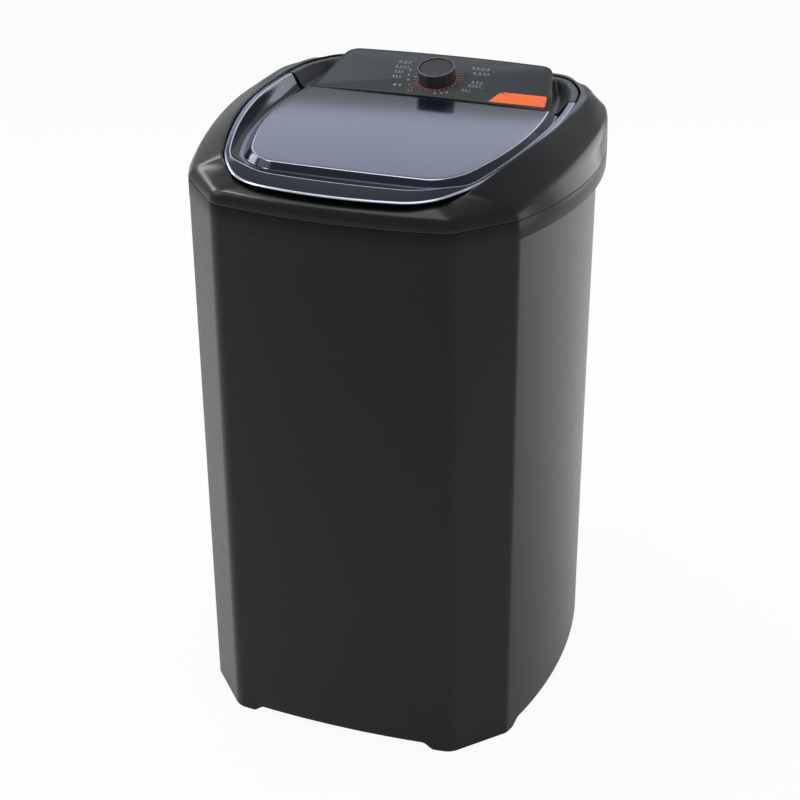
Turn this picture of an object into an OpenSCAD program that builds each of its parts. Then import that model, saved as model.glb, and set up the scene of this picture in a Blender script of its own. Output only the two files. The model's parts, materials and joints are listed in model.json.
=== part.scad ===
// Single tub semi-automatic washing machine.
// Origin on the floor under the middle of the body, front towards -Y, up +Z, millimetres.

/* [Cabinet] */
// Overall width across the overhanging rim band
cab_w = 600; // [560:1:640]
// Overall depth from the bowed front to the cord gland at the back
cab_d = 648; // [610:1:690]
// Height of the seam between the cabinet and the top frame
seam_h = 883; // [840:1:930]
// Height of the rim band that overhangs the side walls
band_h = 30; // [20:1:40]
// Bow of the front panel
front_bow = 18; // [6:1:26]
// Bow of the rim band along each side
band_bow = 52; // [40:1:60]
// Bow of the side wall just under the rim band
wall_bow = 23; // [12:1:34]
// Width of the slanted corner facet, across the body
facet_x = 74; // [60:1:84]
// Depth of the slanted corner facet, along the body
facet_y = 82; // [70:1:92]
// How far the foot of the front panel stands back from its top
front_lean = 20; // [8:1:30]
// Bow of the front panel at the floor
base_front_bow = 11; // [5:1:18]
// Bow of the side wall at the floor
base_side_bow = 34; // [24:1:42]
// Wall thickness of the cabinet
cab_t = 3.5; // [3:0.5:5]
// Height of the moulded feet under the edge of the cabinet
foot_h = 12; // [8:1:18]

/* [Top frame] */
// Height of the rim above the seam, along the sides
rim_rise = 62; // [54:1:68]
// How much lower the rim lies under the lip of the lid
rim_drop = 33; // [28:1:36]
// Height of the crease over the upright band, above the seam
shoulder_rise = 38; // [32:1:42]
// How much lower that crease is across the front
shoulder_drop = 23; // [16:1:27]
// Height of the inner deck above the seam
deck_rise = 23; // [18:1:25]
// Wall thickness of the top frame
frame_t = 3; // [2.5:0.5:4]
// Depth of the collar that leads into the tub
collar_h = 38; // [30:1:44]
// Width of the mouth over the tub
mouth_w = 370; // [330:1:390]

/* [Lid] */
// Height of the lid's side flange above the seam
flange_rise = 60; // [57:1:61]
// How much lower the front lip lies than the side flange
lip_drop = 26; // [23:1:27]
// Height of the raised middle panel above the seam
panel_rise = 48; // [45:1:51]
// Height of the floor of the groove round the panel, above the seam
groove_rise = 31; // [29:1:35]
// Width of the front lip, from its edge to the groove
lip_w = 42; // [34:1:46]
// Width of the side flange
flange_w = 10; // [8:1:12]
// Wall thickness of the lid
lid_t = 3; // [2.5:0.5:3.5]
// Gap between the lid and the rim of the frame
lid_gap = 1.5; // [1:0.5:2.5]
// Radius of the hinge pins
pin_r = 3; // [2.5:0.5:3.5]

/* [Console] */
// Half width of the console at its front edge
console_front = 190.5; // [186:0.5:194]
// Half width of the console at its rear edge
console_rear = 171; // [166:1:175]
// Depth of the console
console_d = 120; // [112:1:126]
// Height of the console's front edge above the seam
console_low = 44; // [42:1:50]
// Rise of the console from front to rear
console_climb = 33; // [28:1:38]
// Thickness of the face plate
plate_t = 2.5; // [2:0.5:3]
// Radius of the knob
knob_r = 29; // [24:1:32]
// Height of the knob
knob_h = 22; // [18:1:26]
// Distance of the knob's axis from the console's front edge, along the slope
knob_up = 56; // [44:1:62]
// Sideways place of the knob's axis
knob_x = -1; // [-8:1:8]
// Radius of the timer's shaft
timer_shaft_r = 3; // [2.5:0.5:4]

/* [Tub] */
// Outer radius of the tub at its mouth
tub_r = 244; // [236:1:250]
// How much narrower the tub is at its floor
tub_taper = 20; // [10:1:28]
// Wall thickness of the tub
tub_t = 3; // [2.5:0.5:4]
// Height of the tub's floor above the ground
tub_floor = 300; // [270:1:330]
// Radius between the tub's wall and its floor
tub_round = 60; // [40:1:80]
// Radius of the drain bore
drain_r = 14; // [11:1:17]

/* [Agitator] */
// Radius of the agitator disc
agitator_r = 150; // [130:1:156]
// Height of the agitator's hub above its rim
hub_h = 52; // [40:1:64]
// Number of agitator fins
fins = 6; // [3:1:8]
// Height of a fin above the disc
fin_h = 26; // [16:1:34]
// Radius of the drive shaft
shaft_r = 8.5; // [8:0.5:10]

/* [Drive] */
// Distance between the agitator's axis and the motor's axis
belt_centres = 165; // [158:1:175]
// Pitch radius of the large pulley
big_pitch = 94; // [84:1:98]
// Pitch radius of the motor pulley
small_pitch = 23.5; // [22:0.5:26]
// Width of the belt across its back
belt_w = 13; // [11:0.5:14]
// Height of the belt's section
belt_h = 8; // [7:0.5:9]
// Height of the belt's middle above the ground
belt_z = 165; // [150:1:172]
// Radius of the motor's body
motor_r = 60; // [52:1:64]
// Height of the motor's body
motor_h = 94; // [84:1:98]
// Radius of the motor's shaft
motor_shaft_r = 6; // [5:0.5:7]
// Outer radius of the shaft bearings
bearing_r = 20; // [19:0.5:22]
// Width of a shaft bearing
bearing_w = 12; // [11:1:14]

/* [Hidden] */
$fn = 64;
fit = 0.05;
seat = 0.3;
eps = 0.01;
flange_t = 2;
cover_t = 2.5;
gland_out = 2;

// Places that follow from the sizes above
cab_z = seam_h - flange_t;
band_z = seam_h - band_h;
front_y = -cab_d / 2;
rear_y = cab_d / 2 - gland_out - cover_t;
side_x = cab_w / 2 - band_bow;
front_x = side_x - facet_x;
rim_z = seam_h + rim_rise;
deck_z = seam_h + deck_rise;
console_y = rear_y - 204;
tub_y = console_y - 137.5;
tub_under = tub_floor - tub_t;
motor_y = tub_y + belt_centres;

// Outlines seen from above, as corners of the right half and then bows and corner radii:
// front, side front, side rear, rear, back edge
band_plan = [[front_x, front_y + front_bow], [side_x, front_y + front_bow + facet_y],
    [side_x, rear_y - facet_y], [front_x + 2, rear_y], [front_x - 30, rear_y],
    [front_bow, band_bow, 0], [12, 5, 5, 12, 8]];
wall_plan = with_bows(band_plan, [front_bow, wall_bow, 0]);
base_plan = [band_plan[0] + [8, front_lean], band_plan[1] + [3, 14], band_plan[2] + [3, -6],
    band_plan[3] + [2, 0], band_plan[4], [base_front_bow, base_side_bow, 0], band_plan[6]];

// Inner rim of the frame, which the lid follows
rim_in = 61;
rim_front = [front_x - 34, front_y + 36];
rim_side = [side_x - rim_in, front_y + front_bow + facet_y - 10];
rim_back = [side_x - 18, rear_y - 140.5];
rim_bow = 28;
rim_plan = [rim_front, rim_side, rim_back, [front_x + 22, rear_y - 79], [front_x - 26, rear_y - 74],
    [12, rim_bow, 0], [14, 12, 24, 28, 8]];

// Mouth over the tub
mouth_plan = [[mouth_w / 2 - 85, tub_y - 206], [mouth_w / 2 - 24, tub_y - 146],
    [mouth_w / 2, tub_y + 66], [mouth_w / 2 - 34, tub_y + 112], [mouth_w / 2 - 60, tub_y + 112],
    [8, 8, 2], [20, 20, 20, 20, 10]];

// Console corners and the slope of its face
console_z = seam_h + console_low;
tilt = atan(console_climb / console_d);
console_r = 22;
console_bow = 6;

// Lid outlines: outer edge, inner edge of the flange, foot of the panel, edge of the panel
tail_y = console_y + 5;
tail_share = (tail_y - rim_side.y) / (rim_back.y - rim_side.y);
lid_rear = console_y - 2;
panel_front = front_y + 95;
lid_bow = rim_bow * tail_share * tail_share;
lid_tail = arc_at(rim_side, rim_back, rim_bow, tail_share) - [lid_gap, 0];
flange_x = lid_tail.x - flange_w;
foot_x = console_front + 18.5;
edge_x = console_front + 5;
lid_plan = lid_outline([rim_front.x, front_y + 26], rim_side - [lid_gap, 0], lid_tail,
    foot_x, 0, [14, lid_bow], 3);
flange_plan = lid_outline([rim_front.x - 14, front_y + 16 + lip_w], rim_side + [-9, 2],
    [flange_x, back_y(flange_x) - 0.4], foot_x, 0.4, [4, lid_bow * 0.98], 1.5);
foot_plan = lid_outline([rim_front.x - 9, panel_front - 8], [edge_x - 27.5, panel_front + 22],
    [foot_x, back_y(foot_x) - 0.8], edge_x + 7.5, 0.8, [3, 20], 1);
panel_plan = lid_outline([rim_front.x - 12, panel_front], [edge_x - 37.5, panel_front + 29],
    [edge_x, back_y(edge_x) - 1.2], edge_x - 2.5, 1.2, [2, 19.5], 0.8);
hinge_y = tail_y - 9;
hinge_z = seam_h + flange_rise - 7;
hinge_x = arc_at(rim_side, rim_back, rim_bow, (hinge_y - rim_side.y) / (rim_back.y - rim_side.y)).x;

// Line of the lid's back edge, from the console's corner out to the tail
function back_y(x) = lid_rear + (x < foot_x ? 1.5 * (x - console_front) / (foot_x - console_front)
    : 1.5 + (lid_tail.y - lid_rear - 1.5) * (x - foot_x) / (lid_tail.x - foot_x));

// A lid outline with its own front corner, side corner and tail, and its back on the back edge
function lid_outline(f, s, t, bx, step, bows, r) =
    [f, s, t, [bx, back_y(bx) - step], [console_front - 1.5 - step, lid_rear - step],
        [bows[0], bows[1], console_bow], [16, 16, r, min(3, r), 2]];

function with_bows(o, bows) = [o[0], o[1], o[2], o[3], o[4], bows, o[6]];

// Outline moved inwards by d
function inset(o, d) = [o[0] + [-0.45 * d, d], o[1] + [-d, 0.45 * d], o[2] + [-d, -0.45 * d],
    o[3] + [-0.45 * d, -d], o[4] + [-0.45 * d, -d], o[5], o[6]];

// Point at share t of the arc from p to q that bows outwards
function arc_at(p, q, bow, t) =
    let (d = q - p, len = norm(d), n = [d.y, -d.x] / len)
    abs(bow) < 0.01 ? p + d * t
    : let (r = (len * len / 4 + bow * bow) / (2 * bow), a = asin(len / 2 / r) * (2 * t - 1))
    (p + q) / 2 + n * (r * cos(a) - r + bow) + d / len * r * sin(a);

// Rounded corner at p, from a to b
function corner(a, p, b, n) =
    [for (i = [0:n]) let (t = i / n) (1 - t) * (1 - t) * a + 2 * t * (1 - t) * p + t * t * b];

// Stretches of an outline: front, side, back, and the places between the two rear corners
front_steps = 6;
side_steps = 12;
back_steps = 2;
tail_shares = [0.25, 0.5, 0.75];

// Right half of an outline, from the middle of the front to the middle of the back
function half_plan(o) =
    let (f = o[0], s = o[1], t = o[2], b = o[3], c = o[4], bows = o[5], r = o[6],
        fm = [-f.x, f.y], cm = [-c.x, c.y], fs = norm(s - f), st = norm(t - s),
        tb = norm(b - t), bc = norm(c - b), uf = r[0] / norm(f - fm), uc = r[4] / norm(c - cm))
    concat(
        [for (i = [0:front_steps - 1]) arc_at(fm, f, bows[0], 0.5 + (0.5 - uf) * i / front_steps)],
        corner(arc_at(fm, f, bows[0], 1 - uf), f, arc_at(f, s, 0, r[0] / fs), 3),
        corner(arc_at(f, s, 0, 1 - r[1] / fs), s, arc_at(s, t, bows[1], r[1] / st), 3),
        [for (i = [1:side_steps - 1])
            arc_at(s, t, bows[1], r[1] / st + (1 - r[1] / st - r[2] / st) * i / side_steps)],
        corner(arc_at(s, t, bows[1], 1 - r[2] / st), t, arc_at(t, b, 0, r[2] / tb), 2),
        [for (u = tail_shares) arc_at(t, b, 0, (r[2] + (tb - r[2] - r[3]) * u) / tb)],
        corner(arc_at(t, b, 0, 1 - r[3] / tb), b, arc_at(b, c, 0, r[3] / bc), 2),
        corner(arc_at(b, c, 0, 1 - r[4] / bc), c, arc_at(c, cm, bows[2], uc), 2),
        [for (i = [1:back_steps]) arc_at(c, cm, bows[2], uc + (0.5 - uc) * i / back_steps)]);

function plan(o) =
    let (h = half_plan(o), n = len(h))
    concat(h, [for (i = [n - 2:-1:1]) [-h[i].x, h[i].y]]);

// Station at the corner between the side and the tail facet, on the right half
tail_first = front_steps + 8 + side_steps;

function mix(a, b, s) = [for (i = [0:len(a) - 1]) a[i] * (1 - s) + b[i] * s];
function mix_each(a, b, s) = [for (i = [0:len(a) - 1]) a[i] * (1 - s[i]) + b[i] * s[i]];
function climb(low, high, s) = [for (k = [0:len(low) - 1]) low[k] * (1 - s) + high[k] * s];
function down(zs, d) = [for (z = zs) z - d];
function ease(t) = let (u = min(1, max(0, t))) u * u * (3 - 2 * u);
function level(pts, z) = [for (p = pts) [p.x, p.y, z]];
function raise(pts, zs) = [for (i = [0:len(pts) - 1]) [pts[i].x, pts[i].y, zs[i]]];
// Two triangles over four corners, with the diagonals mirrored on the left half
function quads(a, b, c, d, right = true) = right ? [[a, d, c], [a, c, b]] : [[b, a, d], [b, d, c]];

// Closed tube through rings of equal length: up the outside and down the inside
module ring_loft(rings) {
    m = len(rings);
    n = len(rings[0]);
    polyhedron(
        points = [for (r = rings) each r],
        faces = [for (i = [0:m - 1], j = [0:n - 1])
            each quads(i * n + j, i * n + (j + 1) % n,
                ((i + 1) % m) * n + (j + 1) % n, ((i + 1) % m) * n + j, j < n / 2)],
        convexity = 10);
}

// Closed skin along open lines of equal length, each one edge of a bar, and with end faces
// that fan out from the line named hub
module open_loft(lines, hub) {
    m = len(lines);
    n = len(lines[0]);
    polyhedron(
        points = [for (l = lines) each l],
        faces = concat(
            [for (i = [0:m - 1], j = [0:n - 2]) each quads(i * n + j, i * n + j + 1,
                ((i + 1) % m) * n + j + 1, ((i + 1) % m) * n + j, j < (n - 1) / 2)],
            [for (i = [1:m - 2])
                [hub * n, ((hub - i + m) % m) * n, ((hub - i - 1 + m) % m) * n]],
            [for (i = [1:m - 2]) [hub * n + n - 1, ((hub + i) % m) * n + n - 1,
                ((hub + i + 1) % m) * n + n - 1]]),
        convexity = 10);
}

// Closed skin through rings, with a point at each end
module domed_loft(first, rings, last) {
    m = len(rings);
    n = len(rings[0]);
    polyhedron(
        points = concat([for (r = rings) each r], [first, last]),
        faces = concat(
            [for (i = [0:m - 2], j = [0:n - 1])
                each quads(i * n + j, i * n + (j + 1) % n,
                    (i + 1) * n + (j + 1) % n, (i + 1) * n + j, j < n / 2)],
            [for (j = [0:n - 1]) [m * n, j, (j + 1) % n]],
            [for (j = [0:n - 1]) [m * n + 1, (m - 1) * n + (j + 1) % n, (m - 1) * n + j]]),
        convexity = 10);
}

module bolt(x, y, z, r, head_r, head_h, length) {
    translate([x, y, z - head_h]) cylinder(r = head_r, h = head_h);
    translate([x, y, z - eps]) cylinder(r = r, h = length + eps);
}

module console_frame() {
    translate([0, console_y, console_z]) rotate([tilt, 0, 0]) children();
}

// Cabinet: one thin moulding with a bowed front, slanted corners, an overhanging rim band
// and four moulded feet
module cabinet_shell() {
    base = plan(base_plan);
    wall = plan(wall_plan);
    band = plan(band_plan);
    base_in = plan(inset(base_plan, cab_t));
    wall_in = plan(inset(wall_plan, cab_t));
    band_in = plan(inset(band_plan, cab_t));
    color("#26282b") difference() {
        ring_loft([level(base, 1), level(wall, band_z - 2), level(band, band_z),
            level(band, cab_z), level(band_in, cab_z), level(band_in, band_z + cab_t),
            level(wall_in, band_z + cab_t - 2), level(base_in, 1)]);
        foot_gap(2 * (base_plan[0].x - 34), 0);
        translate([0, (base_plan[1].y + base_plan[2].y) / 2, 0])
            foot_gap(base_plan[2].y - base_plan[1].y - 44, 90);
        service_opening(0);
        hose_opening();
        cover_screw_places() rotate([90, 0, 0]) translate([0, 0, -1]) cylinder(r = 2 + fit, h = 12);
    }
}

// Gap under an edge between two feet, with rounded ends
module foot_gap(w, turn) {
    r = foot_h * 0.6;
    rotate([0, 0, turn]) rotate([90, 0, 0]) translate([0, 0, -cab_d]) linear_extrude(2 * cab_d)
        polygon(concat([[-w / 2 - r, -1], [w / 2 + r, -1]],
            [for (a = [0:15:90]) [w / 2 + r - r * sin(a), 1 + r - r * cos(a)]],
            [for (a = [0:15:90]) [w / 2 - foot_h + r + (foot_h - r) * cos(a) - r,
                r + 1 + (foot_h - r - 1) * sin(a)]],
            [for (a = [90:-15:0]) [-(w / 2 - foot_h + r + (foot_h - r) * cos(a) - r),
                r + 1 + (foot_h - r - 1) * sin(a)]],
            [for (a = [90:-15:0]) [-(w / 2 + r - r * sin(a)), 1 + r - r * cos(a)]]));
}

opening_w = 260;
opening_low = 110;
opening_high = 430;
cover_lap = 14;

module service_opening(grow) {
    translate([-opening_w / 2 - grow, rear_y - 20, opening_low - grow])
        cube([opening_w + 2 * grow, 40, opening_high - opening_low + 2 * grow]);
}

hose_x = -150;
hose_z = 62;
hose_cut_w = 60;
hose_cut_h = 84;

module hose_opening() {
    translate([hose_x - hose_cut_w / 2, rear_y - 20, foot_h + 8])
        cube([hose_cut_w, 40, hose_cut_h - hose_cut_w / 2]);
    translate([hose_x, rear_y + 20, foot_h + 8 + hose_cut_h - hose_cut_w / 2])
        rotate([90, 0, 0]) cylinder(r = hose_cut_w / 2, h = 40);
}

// Height of the frame's rim and of the crease over its band, at a place y along the body
function rim_at(y) = rim_z - rim_drop * pow(max(0, (-60 - y) / 230), 2)
    - 5 * min(1, max(0, (-236 - y) / 12)) * min(1, max(0, (300 + y) / 30));
function shoulder_at(y) = seam_h + shoulder_rise
    - shoulder_drop * pow(min(1, max(0, (120 - y) / (120 - band_plan[1].y))), 1.2)
    - 26 * ease((y - 170) / 120);

// How far the crease lies in towards the rim, and how much the crown bulges over a straight line
function crease_at(y) = 0.1 * (1 + cos(min(180, max(-180, (y + 90) * 180 / 290))))
    + 0.13 * ease((y - 190) / 110);
function bulge_at(y) = 1 + 11 * ease((y - 60) / 180);

// Top frame: crowned rim on an upright band, with a deck and a collar into the tub
module top_frame() {
    o = plan(band_plan);
    i = plan(rim_plan);
    o_in = plan(inset(band_plan, frame_t));
    wall = plan(inset(rim_plan, 1));
    deck = plan(inset(rim_plan, -frame_t));
    mouth = plan(mouth_plan);
    mouth_out = plan(inset(mouth_plan, -frame_t));
    share = [for (p = o) crease_at(p.y)];
    crease = mix_each(o, i, share);
    crease_in = mix_each(o_in, deck, share);
    sh = [for (p = o) shoulder_at(p.y)];
    rim = [for (k = [0:len(o) - 1]) max(rim_at(i[k].y), sh[k] + 8)];
    color("#313336") difference() {
        ring_loft([
            level(o, seam_h),
            raise(crease, sh),
            raise(mix(crease, i, 0.3), crown(o, sh, rim, 0.3)),
            raise(mix(crease, i, 0.62), crown(o, sh, rim, 0.64)),
            raise(mix(crease, i, 0.86), crown(o, sh, rim, 0.9)),
            raise(mix(crease, i, 0.96), rim),
            raise(i, down(rim, 1)),
            level(wall, deck_z + 3),
            level(plan(inset(rim_plan, 4)), deck_z),
            level(mouth, deck_z),
            level(mouth, deck_z - collar_h),
            level(mouth_out, deck_z - collar_h),
            level(mouth_out, deck_z - frame_t),
            level(deck, deck_z - frame_t),
            raise(mix(crease_in, deck, 0.9), down(rim, frame_t + 2)),
            raise(mix(crease_in, deck, 0.45), down(crown(o, sh, rim, 0.45), frame_t + 1)),
            raise(crease_in, down(sh, frame_t)),
            level(o_in, seam_h)]);
        hinge_bores();
        guide_screw_places() translate([0, 0, -6]) cylinder(r = 1.5 + fit, h = 10);
    }
}

function crown(o, low, high, s) = [for (k = [0:len(low) - 1])
    low[k] * (1 - s) + high[k] * s + 4 * bulge_at(o[k].y) * s * (1 - s)];

module hinge_bores() {
    for (s = [-1, 1]) translate([s * (hinge_x - 12), hinge_y, hinge_z]) rotate([0, s * 90, 0])
        cylinder(r = pin_r + 2 * fit, h = 24);
}

// Two holes in the deck for the screws of the lint filter's guide
guide_w = 130;
guide_y = mouth_plan[3].y - 3.5;

module guide_screw_places() {
    for (s = [-1, 1]) translate([s * guide_w * 0.3, guide_y + 15, deck_z]) children();
}

// Console: a hollow wedge on the deck, with a wing round it that carries on the lid's flange
module console_housing() {
    color("#2b2d2f") {
        difference() {
            intersection() {
                translate([0, 0, deck_z]) linear_extrude(200) polygon(console_outline(0));
                console_frame() translate([-300, -100, -200]) cube([600, 400, 200 - plate_t]);
            }
            intersection() {
                translate([0, 0, deck_z - 1]) linear_extrude(200) polygon(console_outline(3));
                console_frame() translate([-300, -100, -200]) cube([600, 400, 200 - plate_t - 3]);
            }
            console_frame() translate([knob_x, knob_up, -20]) cylinder(r = timer_shaft_r + 6, h = 30);
            console_frame() timer_screw_places() cylinder(r = 1.8, h = 30);
        }
        console_wings();
    }
}

function console_edge(y) =
    console_front + (console_rear - console_front) * (y - console_y) / console_d;
rear_bow = 4;
console_back = console_y + console_d;

// Plan of the console, rounded at its rear corners and slightly bowed at both long edges
function console_outline(d) =
    let (f = console_front - d, r = console_rear - d, y0 = console_y + d, y1 = console_back - d,
        c = [r - console_r, y1])
    concat(
        [for (t = [0:0.1:1]) arc_at([f, y0], [-f, y0], console_bow, t)],
        corner([-r - console_r * 0.15, y1 - console_r], [-r, y1], [-c.x, y1], 6),
        [for (t = [0.9:-0.1:0.1]) arc_at(c, [-c.x, y1], rear_bow, t)],
        corner(c, [r, y1], [r + console_r * 0.15, y1 - console_r], 6));

// Lines of the wing seen from above: the strip's inner edge, the valley and the console's wall
wing_y = tail_y + 3.5;
strip_t = rim_plan[2] - [1, 0.45] * (1 + lid_gap + flange_w);
strip_plan = [rim_front, rim_side - [1, -0.45] * (1 + lid_gap + flange_w), strip_t,
    [console_rear + 19, console_back - 6], [front_x - 26, console_back + 1.5],
    [0, rim_bow, rear_bow], [14, 12, 20, 24, 8]];
valley_plan = [rim_front, [console_edge(rim_side.y) + 34, rim_side.y],
    [console_edge(rim_back.y) + 13.5, rim_back.y + 3], [console_rear + 3.5, console_back - 7],
    [front_x - 26, console_back - 0.3], [0, 0, rear_bow], [14, 12, 14, 8, 8]];
bond_plan = [rim_front, [console_edge(rim_side.y) - 1.5, rim_side.y],
    [console_edge(rim_back.y) - 1.5, rim_back.y], [console_rear, console_back - 8],
    [front_x - 26, console_back - 0.9], [0, 0, rear_bow], [14, 12, 12, 10, 8]];

// Part of an outline behind the place y, from the right side round the back to the left
function line_behind(o, y) =
    let (p = plan(o), n = len(p), t = (y - o[1].y) / (o[2].y - o[1].y),
        a = arc_at(o[1], o[2], o[5][1], t), k0 = tail_first - 1)
    concat([a], [for (k = [k0:n - k0]) p[k]], [[-a.x, a.y]]);

function valley_z(y) = min(seam_h + flange_rise, seam_h + groove_rise + groove_climb
    + 0.025 * max(0, y - console_y) + 0.03 * pow(max(0, y - console_y - 84.5), 2));
function under_plate(y) = console_z + (y - console_y) * tan(tilt) - plate_t / cos(tilt) - 1;

module console_wings() {
    side = line_behind(inset(rim_plan, 1 + lid_gap), wing_y);
    valley = line_behind(valley_plan, wing_y - 5);
    bond = line_behind(bond_plan, wing_y - 6);
    open_loft([
        level(line_behind(inset(rim_plan, 5), wing_y), deck_z + seat),
        level(side, deck_z + 4),
        level(side, seam_h + flange_rise),
        level(line_behind(strip_plan, wing_y), seam_h + flange_rise),
        raise(valley, [for (p = valley) valley_z(p.y)]),
        raise(bond, [for (p = bond) under_plate(p.y)]),
        level(bond, deck_z + seat)], 4);
}

module console_plate() {
    color("#4b4e50") difference() {
        intersection() {
            translate([0, 0, deck_z]) linear_extrude(200) polygon(console_outline(0));
            console_frame() translate([-300, -100, -plate_t]) cube([600, 400, plate_t]);
        }
        console_frame() translate([knob_x, knob_up, -20]) cylinder(r = timer_shaft_r + 1.5, h = 40);
        console_frame() badge_shape(0.15, 0.6);
    }
}

badge_t = 1;

module badge_shape(gap, sink) {
    translate([0, 0, -sink]) linear_extrude(sink + badge_t) polygon([[console_front - 92.5 - gap, 7 - gap],
        [console_front - 3 + gap, 7 - gap], [console_front - 7 + gap, 36 + gap],
        [console_front - 77.5 - gap, 36 + gap], [console_front - 82.5 - gap, 32 + gap]]);
}

module badge_plate() {
    color("#f06a2c") console_frame() badge_shape(0, 0.5);
}

// Tub: tapered bowl whose flange lies on the cabinet, with bosses under its floor
module tub() {
    low = tub_r - tub_taper;
    color("#d9dcdd") difference() {
        union() {
            translate([0, 0, cab_z]) linear_extrude(flange_t) difference() {
                polygon(plan(inset(band_plan, 2)));
                translate([0, tub_y]) circle(r = tub_r - 1.5, $fn = 96);
            }
            translate([0, tub_y, 0]) rotate_extrude($fn = 96) polygon(concat(
                [[24, tub_under], [24, tub_floor]],
                [for (a = [-90:15:0]) [low - tub_t - tub_round + tub_round * cos(a),
                    tub_floor + tub_round + tub_round * sin(a)]],
                [[tub_r - tub_t, seam_h], [tub_r, seam_h], [tub_r, cab_z - 1]],
                [for (a = [0:-15:-90]) [low - tub_round + tub_round * cos(a),
                    tub_under + tub_round + tub_round * sin(a)]]));
            for (a = [30:60:330]) tub_boss(a, bolt_ring, 4, boss_h);
            for (p = motor_bolts, s = [-1, 1]) tub_boss(0, 0, 6, boss_h, [s * p.x, p.y]);
            translate([drain_x, tub_y + drain_y, tub_under - drain_len])
                cylinder(r = drain_r + 3, h = drain_len + eps);
        }
        translate([drain_x, tub_y + drain_y, tub_under - drain_len - 1])
            cylinder(r = drain_r, h = drain_len + tub_t + 2);
        translate([0, tub_y, tub_under - 1]) cylinder(r = bearing_r + 2, h = tub_t + 2);
        bearing_bolt_places() translate([0, 0, tub_under - boss_h - 1]) cylinder(r = 2 + fit, h = boss_h);
        motor_bolt_places() translate([0, 0, tub_under - boss_h - 1]) cylinder(r = 3 + fit, h = boss_h);
    }
}

boss_h = 8;
bolt_ring = 62;
motor_bolts = [[76, 88], (tub_r - tub_taper - tub_round - tub_t - 11) * [0.5455, 0.838]];
drain_x = -112;
drain_y = -40;
drain_len = 30;

module tub_boss(a, ring, r, h, at = [0, 0]) {
    c = [0, tub_y] + at + ring * [cos(a), sin(a)];
    translate([c.x, c.y, tub_under - h]) cylinder(r = r + 3, h = h + eps);
}

module bearing_bolt_places() {
    for (a = [30:60:330]) translate([bolt_ring * cos(a), tub_y + bolt_ring * sin(a), 0]) children();
}

module motor_bolt_places() {
    for (p = motor_bolts, s = [-1, 1]) translate([s * p.x, tub_y + p.y, 0]) children();
}

base_seat = 10;
base_t = 3;
base_z = foot_h;

module base_screw_places() {
    for (x = [-1, 1], y = [-1, 1]) translate([x * (side_x - 30), y * (-band_plan[1].y - 12), 0])
        children();
}

// Bottom cover with air slots
module base_plate() {
    color("#3a3d40") difference() {
        translate([0, 0, base_z]) linear_extrude(base_t)
            polygon(plan(inset(base_plan, cab_t + seat + 0.4)));
        for (y = [-150:30:150], x = [-90, 0, 90]) translate([x - 32, y - 4, base_z - 1])
            cube([64, 8, base_t + 2]);
        base_screw_places() cylinder(r = 2 + fit, h = 2 * base_z);
        translate([hose_x - 24, rear_y - 60, base_z - 1]) cube([48, 8, base_t + 2]);
    }
}

// Rubber feet in the four corners
module foot_pads() {
    o = plan(inset(base_plan, cab_t + seat));
    corner_f = front_steps + 3;
    color("#1c1c1d") for (s = [0, 1]) mirror([s, 0, 0]) {
        pad([for (k = [corner_f:corner_f + 4]) o[k]], -1);
        pad([for (k = [tail_first:tail_first + 5]) o[k]], 1);
    }
}

module pad(edge, side) {
    a = edge[0];
    b = edge[len(edge) - 1];
    in = side < 0 ? [[b.x - 46, b.y], [a.x, a.y + 46]] : [[b.x, b.y - 46], [a.x - 46, a.y]];
    difference() {
        linear_extrude(base_z) polygon(concat(edge, in));
        base_screw_places() translate([0, 0, -1]) cylinder(r = 5, h = base_z + 2);
    }
}

module base_screws() {
    color("#b9bcbe") base_screw_places() bolt(0, 0, base_z, 2, 4, 2.5, base_t + 4);
}

// Louvred service cover on the back, and what is fixed to it
gland_x = 90;
gland_z = opening_low + 40;

module rear_cover() {
    color("#232527") difference() {
        translate([-opening_w / 2 - cover_lap, rear_y, opening_low - cover_lap])
            cube([opening_w + 2 * cover_lap, cover_t, opening_high - opening_low + 2 * cover_lap]);
        for (z = [opening_high - 150:18:opening_high - 24], x = [-75, 0, 75])
            translate([x, rear_y - 1, z]) slot(52, 6);
        translate([gland_x, rear_y - 1, gland_z]) rotate([-90, 0, 0]) cylinder(r = 9, h = 10);
        cover_screw_places() rotate([-90, 0, 0]) translate([0, 0, -1]) cylinder(r = 2 + fit, h = 10);
        cover_screw_places() rotate([-90, 0, 0]) translate([0, 0, cover_t - 1.5]) cylinder(r = 4.2, h = 2);
    }
}

module slot(w, h) {
    translate([-w / 2 + h / 2, 0, -h / 2]) cube([w - h, 10, h]);
    for (s = [-1, 1]) translate([s * (w - h) / 2, 0, 0]) rotate([-90, 0, 0]) cylinder(r = h / 2, h = 10);
}

module cover_screw_places() {
    for (x = [-1, 1], z = [0, 0.5, 1]) translate([x * (opening_w / 2 + cover_lap / 2), rear_y,
        opening_low + z * (opening_high - opening_low)]) children();
}

module cover_screws() {
    color("#b9bcbe") cover_screw_places() rotate([-90, 0, 0]) {
        translate([0, 0, cover_t - 1.5 + fit]) cylinder(r = 4, h = 1.4);
        translate([0, 0, -6]) cylinder(r = 2, h = 6 + cover_t - 1.4);
    }
}

// Rubber gland of the mains lead, with its bore
module cord_gland() {
    color("#18191a") translate([gland_x, rear_y, gland_z]) rotate([-90, 0, 0]) rotate_extrude()
        polygon([[3.5, -6], [3.5, cover_t + gland_out], [10, cover_t + gland_out],
            [11.5, cover_t + fit], [9 - fit, cover_t + fit], [9 - fit, -fit], [11, -fit], [10, -3], [7, -6]]);
}

// Lid: one moulding with a raised panel, a groove round it, a side flange and a front lip
groove_climb = 6;

function flange_at(y) = seam_h + flange_rise - lip_drop * pow(max(0, -y / 310), 1.5);
function panel_at(y) = seam_h + panel_rise - 5 * pow((y + 50) / 180, 2);
function groove_at(y) = seam_h + groove_rise + groove_climb * min(1, max(0, (y + 224) / 340));

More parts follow.
